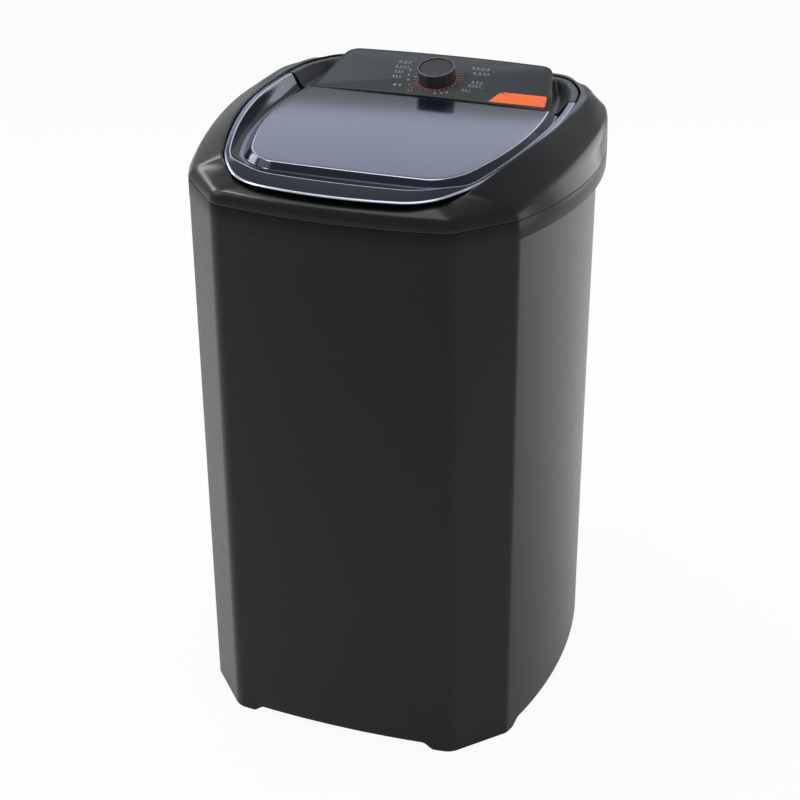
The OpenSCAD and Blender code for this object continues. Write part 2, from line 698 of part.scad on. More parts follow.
// Height along the lid's back edge: the panel, the groove and the flange, outwards from the middle
function back_z(x) =
    let (g = groove_at(lid_rear), p = panel_at(lid_rear), h = flange_at(lid_rear))
    x > flange_x ? h
    : x > foot_x ? g + (h - g) * pow((x - foot_x) / (flange_x - foot_x), 1.6)
    : x > edge_x ? g + (p - 1 - g) * (foot_x - x) / (foot_x - edge_x)
    : p - min(1, max(0, (x - edge_x + 6) / 6));

// A ring of the lid: its own heights round the front and sides, and the back edge's behind them
function lid_ring(pts, zs, drop) = [for (k = [0:len(pts) - 1])
    let (n = len(pts), j = k < n / 2 ? k : n - k)
    [pts[k].x, pts[k].y, (j >= tail_first ? back_z(abs(pts[k].x)) : zs[k]) - drop]];

module lid() {
    outer = plan(lid_plan);
    inner = plan(flange_plan);
    foot = plan(foot_plan);
    edge = plan(panel_plan);
    middle = [0, (panel_front + lid_rear) / 2];
    n = len(outer);
    top = [for (p = outer) flange_at(p.y)];
    top_in = [for (k = [0:n - 1]) flange_at(outer[k].y) + (k < 12 || k > n - 12 ? 4 : 0)];
    low = [for (p = foot) groove_at(p.y)];
    panel = [for (p = edge) panel_at(p.y)];
    core = [for (p = edge) p * 0.5 + middle * 0.5];
    core_z = [for (p = core) panel_at(p.y)];
    color("#5a6274") difference() {
        union() {
            domed_loft([0, middle.y, panel_at(middle.y) - lid_t], [
                raise(core, down(core_z, lid_t)),
                lid_ring(mix(edge, foot, -0.3), panel, lid_t),
                lid_ring(mix(foot, inner, 0.05), low, lid_t),
                lid_ring(mix(foot, inner, 0.5), climb(low, top_in, 0.33), lid_t),
                lid_ring(mix(inner, outer, 0.15), climb(top_in, top, 0.15), lid_t),
                lid_ring(mix(inner, outer, 0.97), top, lid_t),
                lid_ring(outer, top, lid_t * 0.7),
                lid_ring(outer, top, lid_t * 0.3),
                lid_ring(mix(inner, outer, 0.93), top, 0),
                lid_ring(inner, top_in, 0),
                lid_ring(mix(foot, inner, 0.45), climb(low, top_in, 0.28), 0),
                lid_ring(foot, low, 0),
                lid_ring(edge, down(panel, 1), 0),
                lid_ring(mix(edge, foot, -0.15), panel, 0),
                raise(core, core_z)],
                [0, middle.y, panel_at(middle.y)]);
            for (s = [-1, 1]) translate([s * (hinge_x - 10), hinge_y, hinge_z]) rotate([0, s * 90, 0])
                cylinder(r = 5.5, h = 10 - lid_gap);
        }
        for (s = [-1, 1]) translate([s * (hinge_x - 9), hinge_y, hinge_z]) rotate([0, s * 90, 0])
            cylinder(r = pin_r, h = 16);
    }
}

module hinge_pins() {
    color("#b9bcbe") for (s = [-1, 1]) translate([s * (hinge_x - 9), hinge_y, hinge_z])
        rotate([0, s * 90, 0]) cylinder(r = pin_r, h = 16);
}

module lid_bumpers() {
    color("#1c1c1d") for (s = [-1, 1]) translate([s * 96, front_y + 44, deck_z])
        cylinder(r1 = 5.5, r2 = 5, h = flange_at(front_y + 44) - lid_t - 4 * seat - deck_z);
}

// Knob: a grip with twelve flats under a round rim, and a disc let into its top
module knob() {
    color("#232425") console_frame() translate([knob_x, knob_up, seat]) difference() {
        union() {
            rotate([0, 0, 10]) cylinder(r = knob_r, h = knob_h - 3, $fn = 12);
            translate([0, 0, knob_h - 3 - eps]) cylinder(r1 = knob_r * 0.985, r2 = knob_r - 1.5, h = 3);
        }
        translate([0, 0, knob_h - 1.6]) cylinder(r = knob_r - 3, h = 2);
        translate([0, 0, -1]) cylinder(r = timer_shaft_r + fit, h = knob_h - 4);
    }
}

module knob_disc() {
    color("#3b3d3f") console_frame() translate([knob_x, knob_up, seat + knob_h - 1.6])
        cylinder(r = knob_r - 3 - fit, h = 1);
}

timer_w = 56;
timer_h = 19;

module timer_shaft() {
    color("#c9cbcc") console_frame() translate([knob_x, knob_up, -plate_t - 3 - timer_h / 2])
        cylinder(r = timer_shaft_r, h = timer_h / 2 + plate_t + 3 + knob_h - 6);
}

module timer_screw_places() {
    for (s = [-1, 1]) translate([knob_x + s * (timer_w / 2 + 6), knob_up, -20]) children();
}

module timer_body() {
    color("#e4e2da") console_frame() difference() {
        union() {
            translate([knob_x - timer_w / 2, knob_up - timer_w / 2 + 4, -plate_t - 3 - timer_h])
                cube([timer_w, timer_w - 8, timer_h]);
            translate([knob_x - timer_w / 2 - 12, knob_up - 9, -plate_t - 5]) cube([timer_w + 24, 18, 2]);
        }
        translate([knob_x, knob_up, -plate_t - 3 - timer_h + 6]) cylinder(r = timer_shaft_r + fit, h = 40);
        timer_screw_places() cylinder(r = 1.5 + fit, h = 30);
    }
}

module timer_screws() {
    color("#b9bcbe") console_frame() timer_screw_places()
        translate([0, 0, 20 - plate_t - 5]) bolt(0, 0, 0, 1.5, 3, 2, 4.5);
}

// Agitator: a dished disc with swept fins, a hub and a rim lip
agitator_z = tub_floor + 8;
disc_t = 4;

function disc_top(r) = agitator_z + 10 + (hub_h - 26) * pow(1 - min(1, r / agitator_r), 1.6);

module agitator() {
    rs = [for (i = [0:8]) 22 + (agitator_r - 22) * i / 8];
    color("#e8eaea") translate([0, tub_y, 0]) difference() {
        union() {
            rotate_extrude($fn = 96) polygon(concat(
                [for (r = rs) [r, disc_top(r) - disc_t]],
                [[agitator_r, agitator_z], [agitator_r + 2, agitator_z],
                    [agitator_r + 2, disc_top(agitator_r) - 1]],
                [for (i = [8:-1:0]) [rs[i], disc_top(rs[i])]]));
            translate([0, 0, agitator_z]) cylinder(r1 = 27, r2 = 22, h = hub_h);
            for (a = [0:360 / fins:359]) rotate([0, 0, a]) fin();
        }
        translate([0, 0, agitator_z - 1]) cylinder(r = shaft_r + fit, h = hub_h - 11);
        translate([0, 0, agitator_z + hub_h - 8]) cylinder(r = 13, h = 9);
        translate([0, 0, agitator_z + hub_h - 16]) cylinder(r = 3.2, h = 20);
    }
}

// One fin: a curved blade that rises from the hub and dies out near the rim
fin_steps = 10;

module fin() {
    n = fin_steps;
    sections = [for (i = [0:n]) let (t = i / n, r = 18 + (agitator_r - 26) * t, a = 34 * t * t,
        h = fin_h * sin(180 * pow(0.12 + 0.88 * t, 0.75)) + 2, w = 9 - 3 * t,
        c = [r * cos(a), r * sin(a)], d = [-sin(a + 25 * t), cos(a + 25 * t)], z = disc_top(r))
        [[c.x - d.x * w, c.y - d.y * w, z - disc_t / 2], [c.x + d.x * w, c.y + d.y * w, z - disc_t / 2],
            [c.x + d.x * w * 0.35, c.y + d.y * w * 0.35, z + h],
            [c.x - d.x * w * 0.35, c.y - d.y * w * 0.35, z + h]]];
    polyhedron(points = [for (s = sections) each s],
        faces = concat([[0, 1, 2, 3]], [[4 * n + 3, 4 * n + 2, 4 * n + 1, 4 * n]],
            [for (i = [0:n - 1], j = [0:3]) each
                [[4 * i + j, 4 * i + 4 + j, 4 * i + (j + 1) % 4],
                    [4 * i + 4 + j, 4 * i + 4 + (j + 1) % 4, 4 * i + (j + 1) % 4]]]));
}

module agitator_cap() {
    color("#5a6274") translate([0, tub_y, agitator_z + hub_h - 2]) rotate_extrude()
        polygon(concat([[0, 0], [13 - fit, 0], [13 - fit, 2], [20, 2 + fit]],
            [for (a = [0:15:90]) [20 * cos(a), 2.2 + 7 * sin(a)]]));
}

module agitator_screw() {
    color("#b9bcbe") translate([0, tub_y, agitator_z + hub_h - 8]) {
        cylinder(r = 8, h = 5);
        translate([0, 0, -20]) cylinder(r = 3, h = 20 + eps);
    }
}

// Shaft, its housing and its bearings
house_len = 84;
house_top = tub_under - boss_h;

module drive_shaft() {
    top = agitator_z + hub_h - 12;
    bottom = belt_z - 22;
    color("#c9cbcc") translate([0, tub_y, 0]) difference() {
        translate([0, 0, bottom]) cylinder(r = shaft_r, h = top - bottom);
        translate([0, 0, top - 21]) cylinder(r = 3 + fit, h = 22);
    }
}

module bearing_housing() {
    color("#8d9194") translate([0, tub_y, 0]) difference() {
        union() {
            translate([0, 0, house_top - 6]) cylinder(r = bolt_ring + 12, h = 6);
            translate([0, 0, house_top - house_len]) cylinder(r = bearing_r + 6, h = house_len);
            translate([0, 0, house_top - eps]) cylinder(r = bearing_r + 2 - seat, h = boss_h + tub_t);
            for (a = [0:60:300]) rotate([0, 0, a]) translate([0, -2.5, 0]) rotate([90, 0, 0]) mirror([0, 0, 1])
                linear_extrude(5) polygon([[bearing_r, house_top - 5], [bolt_ring + 4, house_top - 5],
                    [bearing_r, house_top - house_len + 20]]);
        }
        translate([0, 0, house_top - house_len - 1]) cylinder(r = shaft_r + 3.5, h = house_len + 40);
        translate([0, 0, house_top - house_len - 1]) cylinder(r = bearing_r, h = bearing_w + 1);
        translate([0, 0, house_top - bearing_w]) cylinder(r = bearing_r, h = bearing_w + eps);
        translate([0, 0, house_top]) cylinder(r = bearing_r - 2, h = 40);
        for (a = [30:60:330]) translate([bolt_ring * cos(a), bolt_ring * sin(a), house_top - 10])
            cylinder(r = 2 + fit, h = 20);
    }
}

module bearings() {
    color("#d4d6d7") for (z = [house_top - house_len, house_top - bearing_w])
        translate([0, tub_y, z]) difference() {
            cylinder(r = bearing_r - fit, h = bearing_w);
            translate([0, 0, -1]) cylinder(r = shaft_r + fit, h = bearing_w + 2);
        }
}

module shaft_seal() {
    color("#1c1c1d") translate([0, tub_y, house_top + eps]) difference() {
        cylinder(r = bearing_r - 2 - fit, h = 7);
        translate([0, 0, -1]) cylinder(r = shaft_r + 2 * fit, h = 9);
    }
}

module bearing_screws() {
    color("#b9bcbe") bearing_bolt_places() bolt(0, 0, house_top - 6, 2, 4, 3, 6 + boss_h - 2);
}

// Half width of the vee of belt or groove at a distance in from the belt's back
function vee(depth) = belt_w / 2 - depth * tan(18);

module pulley(pitch, w, gap) {
    out = pitch + belt_h / 2 - 1 + 2;
    back = pitch + belt_h / 2;
    root = pitch - belt_h / 2 - 1.2;
    rotate_extrude($fn = 96) polygon([[0, -w / 2], [out, -w / 2],
        [out, -vee(back - out) - gap], [root, -vee(back - root) - gap], [root, vee(back - root) + gap],
        [out, vee(back - out) + gap], [out, w / 2], [0, w / 2]]);
}

pulley_w = 19;

module large_pulley() {
    color("#b4b7b9") translate([0, tub_y, belt_z]) difference() {
        union() {
            difference() {
                pulley(big_pitch, pulley_w, 0.4);
                for (z = [-pulley_w / 2 - 1, 3]) translate([0, 0, z])
                    cylinder(r = big_pitch - 14, h = pulley_w / 2 - 2);
                for (a = [0:60:300]) rotate([0, 0, a]) translate([big_pitch * 0.5, 0, -20])
                    cylinder(r = big_pitch * 0.15, h = 40);
            }
            translate([0, 0, -pulley_w / 2 - 3]) cylinder(r = 22, h = pulley_w + 6);
        }
        translate([0, 0, -30]) cylinder(r = shaft_r + fit, h = 60);
    }
}

module pulley_nut() {
    color("#b9bcbe") translate([0, tub_y, belt_z - pulley_w / 2 - 3 - 8]) difference() {
        cylinder(r = 15, h = 8, $fn = 6);
        translate([0, 0, -1]) cylinder(r = shaft_r + fit, h = 10);
    }
}

// Motor hung from a bracket under the tub, its pulley below it
bracket_t = 4;
motor_top = house_top - bracket_t - 2;

module motor_bracket() {
    rib_x = motor_bolts[1].x - 15.8;
    color("#9a9da0") difference() {
        union() {
            translate([0, tub_y, house_top - bracket_t]) linear_extrude(bracket_t)
                polygon([[-92, 76], [92, 76], [96, 82], [96, 140], [58, 224], [50, 230],
                    [-50, 230], [-58, 224], [-78, 181], [-100, 181], [-100, 149], [-96, 140], [-96, 82]]);
            for (s = [-1, 1]) translate([s * rib_x - 2, tub_y + 92, house_top - bracket_t - 12])
                cube([4, 30, 13]);
        }
        translate([0, tub_y, house_top - 20]) cylinder(r = bolt_ring + 16, h = 40);
        motor_bolt_places() translate([0, 0, house_top - 20]) cylinder(r = 3 + fit, h = 40);
        translate([0, motor_y, house_top - 20]) cylinder(r = 22, h = 40);
        for (a = [0:90:270]) translate([46 * cos(a), motor_y + 46 * sin(a), house_top - 20])
            cylinder(r = 2 + fit, h = 40);
        translate([-89, motor_y, house_top - 20]) cylinder(r = 2 + fit, h = 40);
    }
}

module motor_housing() {
    bottom = motor_top - motor_h;
    color("#3f4347") translate([0, motor_y, 0]) difference() {
        union() {
            rotate_extrude() polygon([[0, bottom], [24, bottom], [26, bottom + 8], [motor_r - 10, bottom + 10],
                [motor_r - 4, bottom + 16], [motor_r - 4, bottom + 26], [motor_r, bottom + 26],
                [motor_r, motor_top - 26], [motor_r - 4, motor_top - 26], [motor_r - 4, motor_top - 14],
                [motor_r - 10, motor_top - 8], [20, motor_top - 6], [18, motor_top], [0, motor_top]]);
            for (a = [0:90:270]) translate([46 * cos(a), 46 * sin(a), motor_top - 12])
                cylinder(r = 6, h = 14);
            for (a = [0:15:345]) rotate([0, 0, a]) translate([motor_r - 1, -1, bottom + 30])
                cube([3, 2, motor_h - 60]);
        }
        translate([0, 0, bottom - 1]) cylinder(r = motor_shaft_r + fit, h = motor_h - 16);
        for (a = [22.5:45:360]) rotate([0, 0, a]) translate([motor_r - 12, -3, bottom + 13])
            cube([20, 6, 8]);
        for (a = [0:90:270]) translate([46 * cos(a), 46 * sin(a), motor_top - 8])
            cylinder(r = 2 + fit, h = 20);
    }
}

module motor_screws() {
    color("#b9bcbe") {
        motor_bolt_places() bolt(0, 0, house_top - bracket_t, 3, 6, 4, bracket_t + boss_h - 2);
        for (a = [0:90:270]) translate([46 * cos(a), motor_y + 46 * sin(a), house_top])
            mirror([0, 0, 1]) bolt(0, 0, 0, 2, 4, 3, bracket_t + 9);
        translate([-89, motor_y, house_top - bracket_t - 2]) bolt(0, 0, 0, 2, 4, 3, bracket_t + 2);
    }
}

module motor_shaft() {
    bottom = belt_z - 14;
    color("#c9cbcc") translate([0, motor_y, bottom])
        cylinder(r = motor_shaft_r, h = motor_top - 20 - bottom);
}

module motor_pulley() {
    color("#a9acae") translate([0, motor_y, belt_z]) difference() {
        union() {
            pulley(small_pitch, pulley_w, 0.4);
            translate([0, 0, pulley_w / 2 - eps]) cylinder(r = 14, h = motor_gap - 4);
        }
        translate([0, 0, -20]) cylinder(r = motor_shaft_r + fit, h = 60);
        translate([0, 0, pulley_w / 2 + 3]) rotate([90, 0, 0]) cylinder(r = 2, h = 20);
    }
}

motor_gap = motor_top - motor_h - belt_z - pulley_w / 2;

module pulley_grub_screw() {
    color("#55585a") translate([0, motor_y - motor_shaft_r - 2 * fit, belt_z + pulley_w / 2 + 3])
        rotate([90, 0, 0]) cylinder(r = 2 - fit, h = 7);
}

// Belt: a vee section round both pulleys, with straight runs on their common tangents
module drive_belt() {
    lean = asin((big_pitch - small_pitch) / belt_centres);
    run = belt_centres * cos(lean);
    color("#202122") translate([0, tub_y, belt_z]) {
        rotate([0, 0, 180 - lean]) belt_arc(big_pitch, 180 + 2 * lean);
        translate([0, belt_centres, 0]) rotate([0, 0, lean]) belt_arc(small_pitch, 180 - 2 * lean);
        for (s = [0, 1]) mirror([s, 0, 0]) rotate([0, 0, lean]) translate([0, -eps, 0])
            rotate([-90, 0, 0]) linear_extrude(run + 2 * eps) belt_section(big_pitch);
    }
}

module belt_section(pitch) {
    polygon([[pitch - belt_h / 2, -vee(belt_h)], [pitch + belt_h / 2, -vee(0)],
        [pitch + belt_h / 2, vee(0)], [pitch - belt_h / 2, vee(belt_h)]]);
}

module belt_arc(pitch, angle) {
    rotate_extrude(angle = angle, $fn = 96) belt_section(pitch);
}

capacitor_r = 19;
capacitor_at = [-118, tub_y + 128];

module capacitor() {
    color("#dfe0de") translate([capacitor_at.x, capacitor_at.y, house_top - bracket_t - 64])
        rotate_extrude() polygon([[0, 0], [capacitor_r - 2, 0], [capacitor_r, 2], [capacitor_r, 60],
            [capacitor_r - 2, 62], [0, 62]]);
}

module capacitor_clip() {
    z = house_top - bracket_t - 30;
    color("#8d9194") difference() {
        union() {
            translate([capacitor_at.x, capacitor_at.y, z]) cylinder(r = capacitor_r + 2, h = 18);
            translate([-100, motor_y - 12, z]) cube([2, 24, 30]);
            translate([capacitor_at.x + 4, capacitor_at.y + 18, z]) cube([14, 12, 18]);
            translate([-100, motor_y - 12, house_top - bracket_t - 2]) cube([22, 24, 2]);
        }
        translate([capacitor_at.x, capacitor_at.y, z - 1]) cylinder(r = capacitor_r + fit, h = 40);
        translate([-89, motor_y, z]) cylinder(r = 2 + fit, h = 60);
    }
}

// Drain: a moulded pipe from the tub's spigot to the outlet at the back
hose_r = drain_r + 3;
outlet_r = 13;

function hose_path() = let (a = [drain_x, tub_y + drain_y, tub_under - 6])
    [a, a - [0, 0, drain_len + 2], a - [0, 0, drain_len + 14],
        [a.x - 4, a.y + 12, a.z - drain_len - 44], [a.x - 12, a.y + 32, a.z - drain_len - 80],
        [hose_x + 12, 20, hose_z + 70],
        [hose_x + 4, 70, hose_z + 24], [hose_x, 120, hose_z + 4], [hose_x, 150, hose_z],
        [hose_x, 200, hose_z], [hose_x, rear_y - 66, hose_z]];

// Points of a smooth curve through the places p, with n steps between two of them
function smooth(p, n) = [for (i = [0:len(p) - 2], j = [0:n - 1 + (i == len(p) - 2 ? 1 : 0)])
    let (t = j / n, a = p[max(0, i - 1)], b = p[i], c = p[i + 1], d = p[min(len(p) - 1, i + 2)])
    0.5 * (2 * b + (c - a) * t + (2 * a - 5 * b + 4 * c - d) * t * t + (3 * b - a - 3 * c + d) * t * t * t)];

function unit(v) = v / norm(v);

// Tube along a path, as rings of n points
function tube_ring(pts, i, r, n) =
    let (m = len(pts), d = unit(pts[min(m - 1, i + 1)] - pts[max(0, i - 1)]),
        u = unit(cross(d, [1, 0, 0])), v = cross(u, d))
    [for (k = [0:n - 1]) pts[i] + r * (u * cos(360 * k / n) + v * sin(360 * k / n))];

module drain_pipe() {
    pts = smooth(hose_path(), 4);
    m = len(pts);
    n = 16;
    outer = hose_r + fit + 3;
    over = 1 / cos(180 / n);
    inner = (hose_r + fit) * over;
    rings = concat([for (i = [0:m - 1]) tube_ring(pts, i, outer + (i > 5 && i < m - 6 ? (i % 2) * 1.5 : 0), n)],
        [for (i = [m - 1:-1:0]) tube_ring(pts, i, i < 5 ? inner
            : i > m - 6 ? (outlet_r + fit) * over : outlet_r * over, n)]);
    color("#6f7375") ring_loft(rings);
}

module pipe_clamps() {
    a = hose_path()[0];
    color("#b9bcbe") {
        translate([a.x, a.y, a.z - 16]) clamp_band(hose_r + 3 + 0.5);
        translate([hose_x, rear_y - 76, hose_z]) rotate([90, 0, 0]) clamp_band(hose_r + 3 + 0.5);
    }
}

module clamp_band(r) {
    difference() {
        union() {
            cylinder(r = r + 1.2, h = 9);
            translate([r - 1, -5, 0]) cube([9, 10, 9]);
        }
        translate([0, 0, -1]) cylinder(r = r, h = 11);
    }
}

module drain_outlet() {
    color("#3a3d40") difference() {
        union() {
            translate([hose_x, rear_y - 92, hose_z]) rotate([-90, 0, 0]) cylinder(r = outlet_r, h = 88);
            translate([hose_x, rear_y - 60, hose_z]) rotate([-90, 0, 0]) cylinder(r = 24, h = 8 - 2 * seat);
            translate([hose_x - 22, rear_y - 60, base_z + base_t])
                cube([44, 8 - 2 * seat, hose_z - base_z - base_t]);
            translate([hose_x - 22, rear_y - 60, base_z + base_t]) cube([44, 26, 4]);
            translate([hose_x - 22, rear_y - 60 + seat, base_z]) cube([44, 8 - 3 * seat, base_t + eps]);
        }
        translate([hose_x, rear_y - 100, hose_z]) rotate([-90, 0, 0]) cylinder(r = outlet_r - 2.5, h = 120);
    }
}

// Lint filter: a frame that lifts out of the guide at the back of the mouth
guide_h = 176;
channel_h = 72;
filter_h = 88;

module filter_guide() {
    low = deck_z - guide_h;
    color("#cfd2d3") difference() {
        union() {
            translate([-guide_w / 2, guide_y, low]) cube([guide_w, 2.5, guide_h + 2]);
            for (s = [-1, 1]) translate([s * guide_w * 0.3 - 12, guide_y, deck_z]) cube([24, 22, 2]);
            for (s = [0, 1]) mirror([s, 0, 0]) {
                translate([guide_w / 2 - 2.5, guide_y - 11, low]) cube([2.5, 13, channel_h]);
                translate([guide_w / 2 - 9, guide_y - 11, low]) cube([8, 2, channel_h]);
                translate([guide_w / 2 - 9, guide_y - 11, low]) cube([8, 12, 2]);
            }
        }
        for (i = [-2.5:1:2.5], j = [0:3]) translate([i * 17 - 5.5, guide_y - 1, low + 16 + j * 20])
            cube([11, 5, 12]);
        guide_screw_places() cylinder(r = 1.5 + fit, h = 10);
    }
}

module guide_screws() {
    color("#b9bcbe") guide_screw_places() translate([0, 0, 2]) mirror([0, 0, 1])
        bolt(0, 0, 0, 1.5, 3, 2, 2 + frame_t);
}

filter_low = deck_z - guide_h + 2 + seat;
filter_w = guide_w - 5 - 2 * seat;
filter_t = 9 - 2 * seat;

module filter_frame() {
    color("#5a6274") translate([-filter_w / 2, guide_y - 9 + seat, filter_low]) {
        difference() {
            cube([filter_w, filter_t, filter_h]);
            translate([10, -1, 8]) cube([filter_w - 20, filter_t + 2, filter_h - 24]);
        }
        translate([filter_w / 2 - 18, -8, filter_h - 6]) cube([36, 9, 5]);
    }
}

module filter_net() {
    cols = 9;
    rows = 6;
    w = filter_w - 20 - 2 * fit;
    h = filter_h - 24 - 2 * fit;
    color("#aab4c4") translate([-w / 2, guide_y - 9 + seat + 2, filter_low + 8 + fit]) difference() {
        cube([w, 1.6, h]);
        for (i = [0:cols - 1], j = [0:rows - 1])
            translate([3 + i * (w - 3) / cols, -1, 3 + j * (h - 3) / rows])
                cube([(w - 3) / cols - 3, 4, (h - 3) / rows - 3]);
    }
}

cabinet_shell();
top_frame();
console_housing();
console_plate();
badge_plate();
tub();
base_plate();
foot_pads();
rear_cover();
cord_gland();
cover_screws();
base_screws();
lid();
hinge_pins();
lid_bumpers();
knob();
knob_disc();
timer_shaft();
timer_body();
timer_screws();
agitator();
agitator_cap();
agitator_screw();
drive_shaft();
large_pulley();
pulley_nut();
bearing_housing();
bearings();
shaft_seal();
bearing_screws();
motor_bracket();
motor_housing();
motor_screws();
motor_shaft();
motor_pulley();
pulley_grub_screw();
drive_belt();
capacitor();
capacitor_clip();
drain_pipe();
pipe_clamps();
drain_outlet();
filter_guide();
guide_screws();
filter_frame();
filter_net();
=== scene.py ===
"""Looks of the semi-automatic washing machine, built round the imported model."""

import json
import math

import bmesh
import bpy
import numpy as np
from mathutils import Matrix, Vector


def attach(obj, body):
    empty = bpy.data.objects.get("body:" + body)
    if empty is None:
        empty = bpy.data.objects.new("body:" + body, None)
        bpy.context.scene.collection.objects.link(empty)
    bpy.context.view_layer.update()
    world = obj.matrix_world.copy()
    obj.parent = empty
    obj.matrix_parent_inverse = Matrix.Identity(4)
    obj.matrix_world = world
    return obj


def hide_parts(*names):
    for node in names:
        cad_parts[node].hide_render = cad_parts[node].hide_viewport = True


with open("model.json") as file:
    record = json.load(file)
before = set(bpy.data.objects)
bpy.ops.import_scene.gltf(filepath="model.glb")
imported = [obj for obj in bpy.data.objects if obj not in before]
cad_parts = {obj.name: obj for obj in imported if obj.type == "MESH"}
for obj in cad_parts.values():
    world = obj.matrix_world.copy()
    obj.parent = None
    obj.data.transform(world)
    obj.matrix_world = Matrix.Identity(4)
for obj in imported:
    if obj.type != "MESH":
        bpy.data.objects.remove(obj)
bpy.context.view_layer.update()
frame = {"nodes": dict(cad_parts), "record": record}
NODES = frame["nodes"]
scene = bpy.context.scene

# Sizes and places in mm
MM = 0.001
SEAM = 883.0                 # height of the seam between cabinet and top frame
FLANGE_T = 2.0
CAB_TOP = SEAM - FLANGE_T
BAND_Z = SEAM - 30.0         # underside of the band round the cabinet's top
FRONT_Y = -324.0             # middle of the bowed front
REAR_Y = 319.5
SIDE_X = 248.0               # corners where the bowed sides start and end
FRONT_X = 174.0              # corners where the bowed front ends
FACET_Y = 82.0               # depth of the slanted facet at a corner
FRONT_BOW = 18.0
BAND_BOW = 52.0              # bow of the band's sides
WALL_BOW = 23.0              # bow of the walls' sides, under the band
CAB_T = 3.5
FOOT_H = 12.0                # height of the cabinet's lower edge between its feet
RIM_Z = SEAM + 62.0
DECK_Z = SEAM + 23.0
FRAME_T = 3.0
COLLAR = 38.0                # how far the mouth's collar reaches below the deck
TUB_Y = -22.0
LID_GAP = 1.5
LID_T = 3.0
FLANGE_W = 10.0              # width of the lid's flange at its tails
CONSOLE_Y = REAR_Y - 204.0   # front edge of the console's face
CONSOLE_Z = SEAM + 44.0      # height of the face at that edge
CONSOLE_D = 120.0
CONSOLE_RISE = 33.0
CONSOLE_F = 190.5            # half width at the front
CONSOLE_R = 171.0            # half width at the rear
CONSOLE_BOW = 6.0
REAR_BOW = 4.0
TILT = math.atan(CONSOLE_RISE / CONSOLE_D)
PLATE_T = 2.5
KNOB_X = -1.0
KNOB_UP = 56.0               # up the face from its front edge
KNOB_R = 30.0                # 1 mm more than in the CAD, which fits the photograph better
KNOB_H = 22.0


def v2(x, y):
    """A place in plan."""
    return np.array([x, y], float)


# Right-hand corners of the outlines, from the front to the back, and the radii that round them
BAND = [v2(FRONT_X, FRONT_Y + FRONT_BOW), v2(SIDE_X, FRONT_Y + FRONT_BOW + FACET_Y),
        v2(SIDE_X, REAR_Y - FACET_Y), v2(FRONT_X + 2, REAR_Y), v2(FRONT_X - 30, REAR_Y)]
BAND_R = [12, 5, 5, 12, 8]
TAPER = [(8, 20), (3, 14), (3, -6), (2, 0), (0, 0)]
BASE = [p + v2(*move) for p, move in zip(BAND, TAPER)]
RIM_SIDE = v2(SIDE_X - 61, FRONT_Y + FRONT_BOW + FACET_Y - 10)
RIM_BACK = v2(SIDE_X - 18, REAR_Y - 140.5)
RIM_BOW = 28.0
RIM = [v2(FRONT_X - 34, FRONT_Y + 36), RIM_SIDE, RIM_BACK, v2(FRONT_X + 22, REAR_Y - 79),
       v2(FRONT_X - 26, REAR_Y - 74)]
RIM_R = [14, 12, 24, 28, 8]
MOUTH = [v2(100, TUB_Y - 206), v2(161, TUB_Y - 146), v2(185, TUB_Y + 66), v2(151, TUB_Y + 112),
         v2(125, TUB_Y + 112)]
MOUTH_R = [20, 20, 20, 20, 10]

# How finely the stretches and the corners of an outline are divided
STRETCHES = {"front": 60, "facet": 8, "side": 84, "tail": 14, "rear corner": 1, "back": 30}
CORNER_STEPS = 10
TAIL_FIRST = sum(STRETCHES[k] for k in ("front", "facet", "side")) + 2 * CORNER_STEPS

INSET_SLIDE = 0.45           # how far a corner slides along its side when the outline shrinks by 1
CURVE_SHARE = 0.48           # most of the shorter side that the curve at one corner takes


# Outlines in plan
def arc_at(p, q, bow, t):
    """Point at share t of the arc from p to q that bows outwards."""
    d = q - p
    length = np.linalg.norm(d)
    n = v2(d[1], -d[0]) / length
    if abs(bow) < 0.01:
        return p + d * t
    r = (length * length / 4 + bow * bow) / (2 * bow)
    a = math.asin(length / 2 / r) * (2 * t - 1)
    return (p + q) / 2 + n * (r * math.cos(a) - r + bow) + d / length * r * math.sin(a)


def corner(a, p, b, n):
    """The n + 1 places on the curve from a to b that rounds the corner at p."""
    return [(1 - t) ** 2 * a + 2 * t * (1 - t) * p + t * t * b for t in np.linspace(0, 1, n + 1)]


def half_plan(corners, bows, radii):
    """Right half of an outline, from the middle of the front to the middle of the back.

    bows are those of the front, of the sides and of the back."""
    stops = [corners[0] * (-1, 1)] + list(corners) + [corners[-1] * (-1, 1)]
    legs = list(zip(stops, stops[1:], (bows[0], 0, bows[1], 0, 0, bows[2])))
    lengths = [np.linalg.norm(q - p) for p, q in zip(stops, stops[1:])]
    start, out = 0.5, [arc_at(*legs[0], 0.5)]
    for i, (leg, steps) in enumerate(zip(legs, STRETCHES.values())):
        end = 1 - radii[i] / lengths[i] if i < len(corners) else 0.5
        out += [arc_at(*leg, start + (end - start) * k / steps) for k in range(1, steps)]
        if i < len(corners):
            start = radii[i] / lengths[i + 1]
            out += corner(arc_at(*leg, end), corners[i], arc_at(*legs[i + 1], start), CORNER_STEPS)
    return out + [arc_at(*legs[-1], 0.5)]


def plan(corners, bows, radii):
    """Whole outline, its left half the mirror image of its right half."""
    half = half_plan(corners, bows, radii)
    return np.array(half + [v2(-x, y) for x, y in half[-2:0:-1]])


def inset(corners, d):
    """Corners of an outline that lies d further in."""
    k = INSET_SLIDE * d
    moves = ((-k, d), (-d, k), (-d, -k), (-k, -d), (-k, -d))
    return [p + v2(*move) for p, move in zip(corners, moves)]


def lift(pts, z):
    """Points of an outline at the heights z, as rows of three."""
    return np.column_stack([pts, np.broadcast_to(z, len(pts))])


def lower(ring, d):
    """The same ring d mm lower."""
    return ring - np.array([0, 0, d])


def smooth(a, b, x):
    """Rises from 0 at a to 1 at b, level at both ends."""
    t = np.clip((np.asarray(x, float) - a) / (b - a), 0, 1)
    return t * t * (3 - 2 * t)


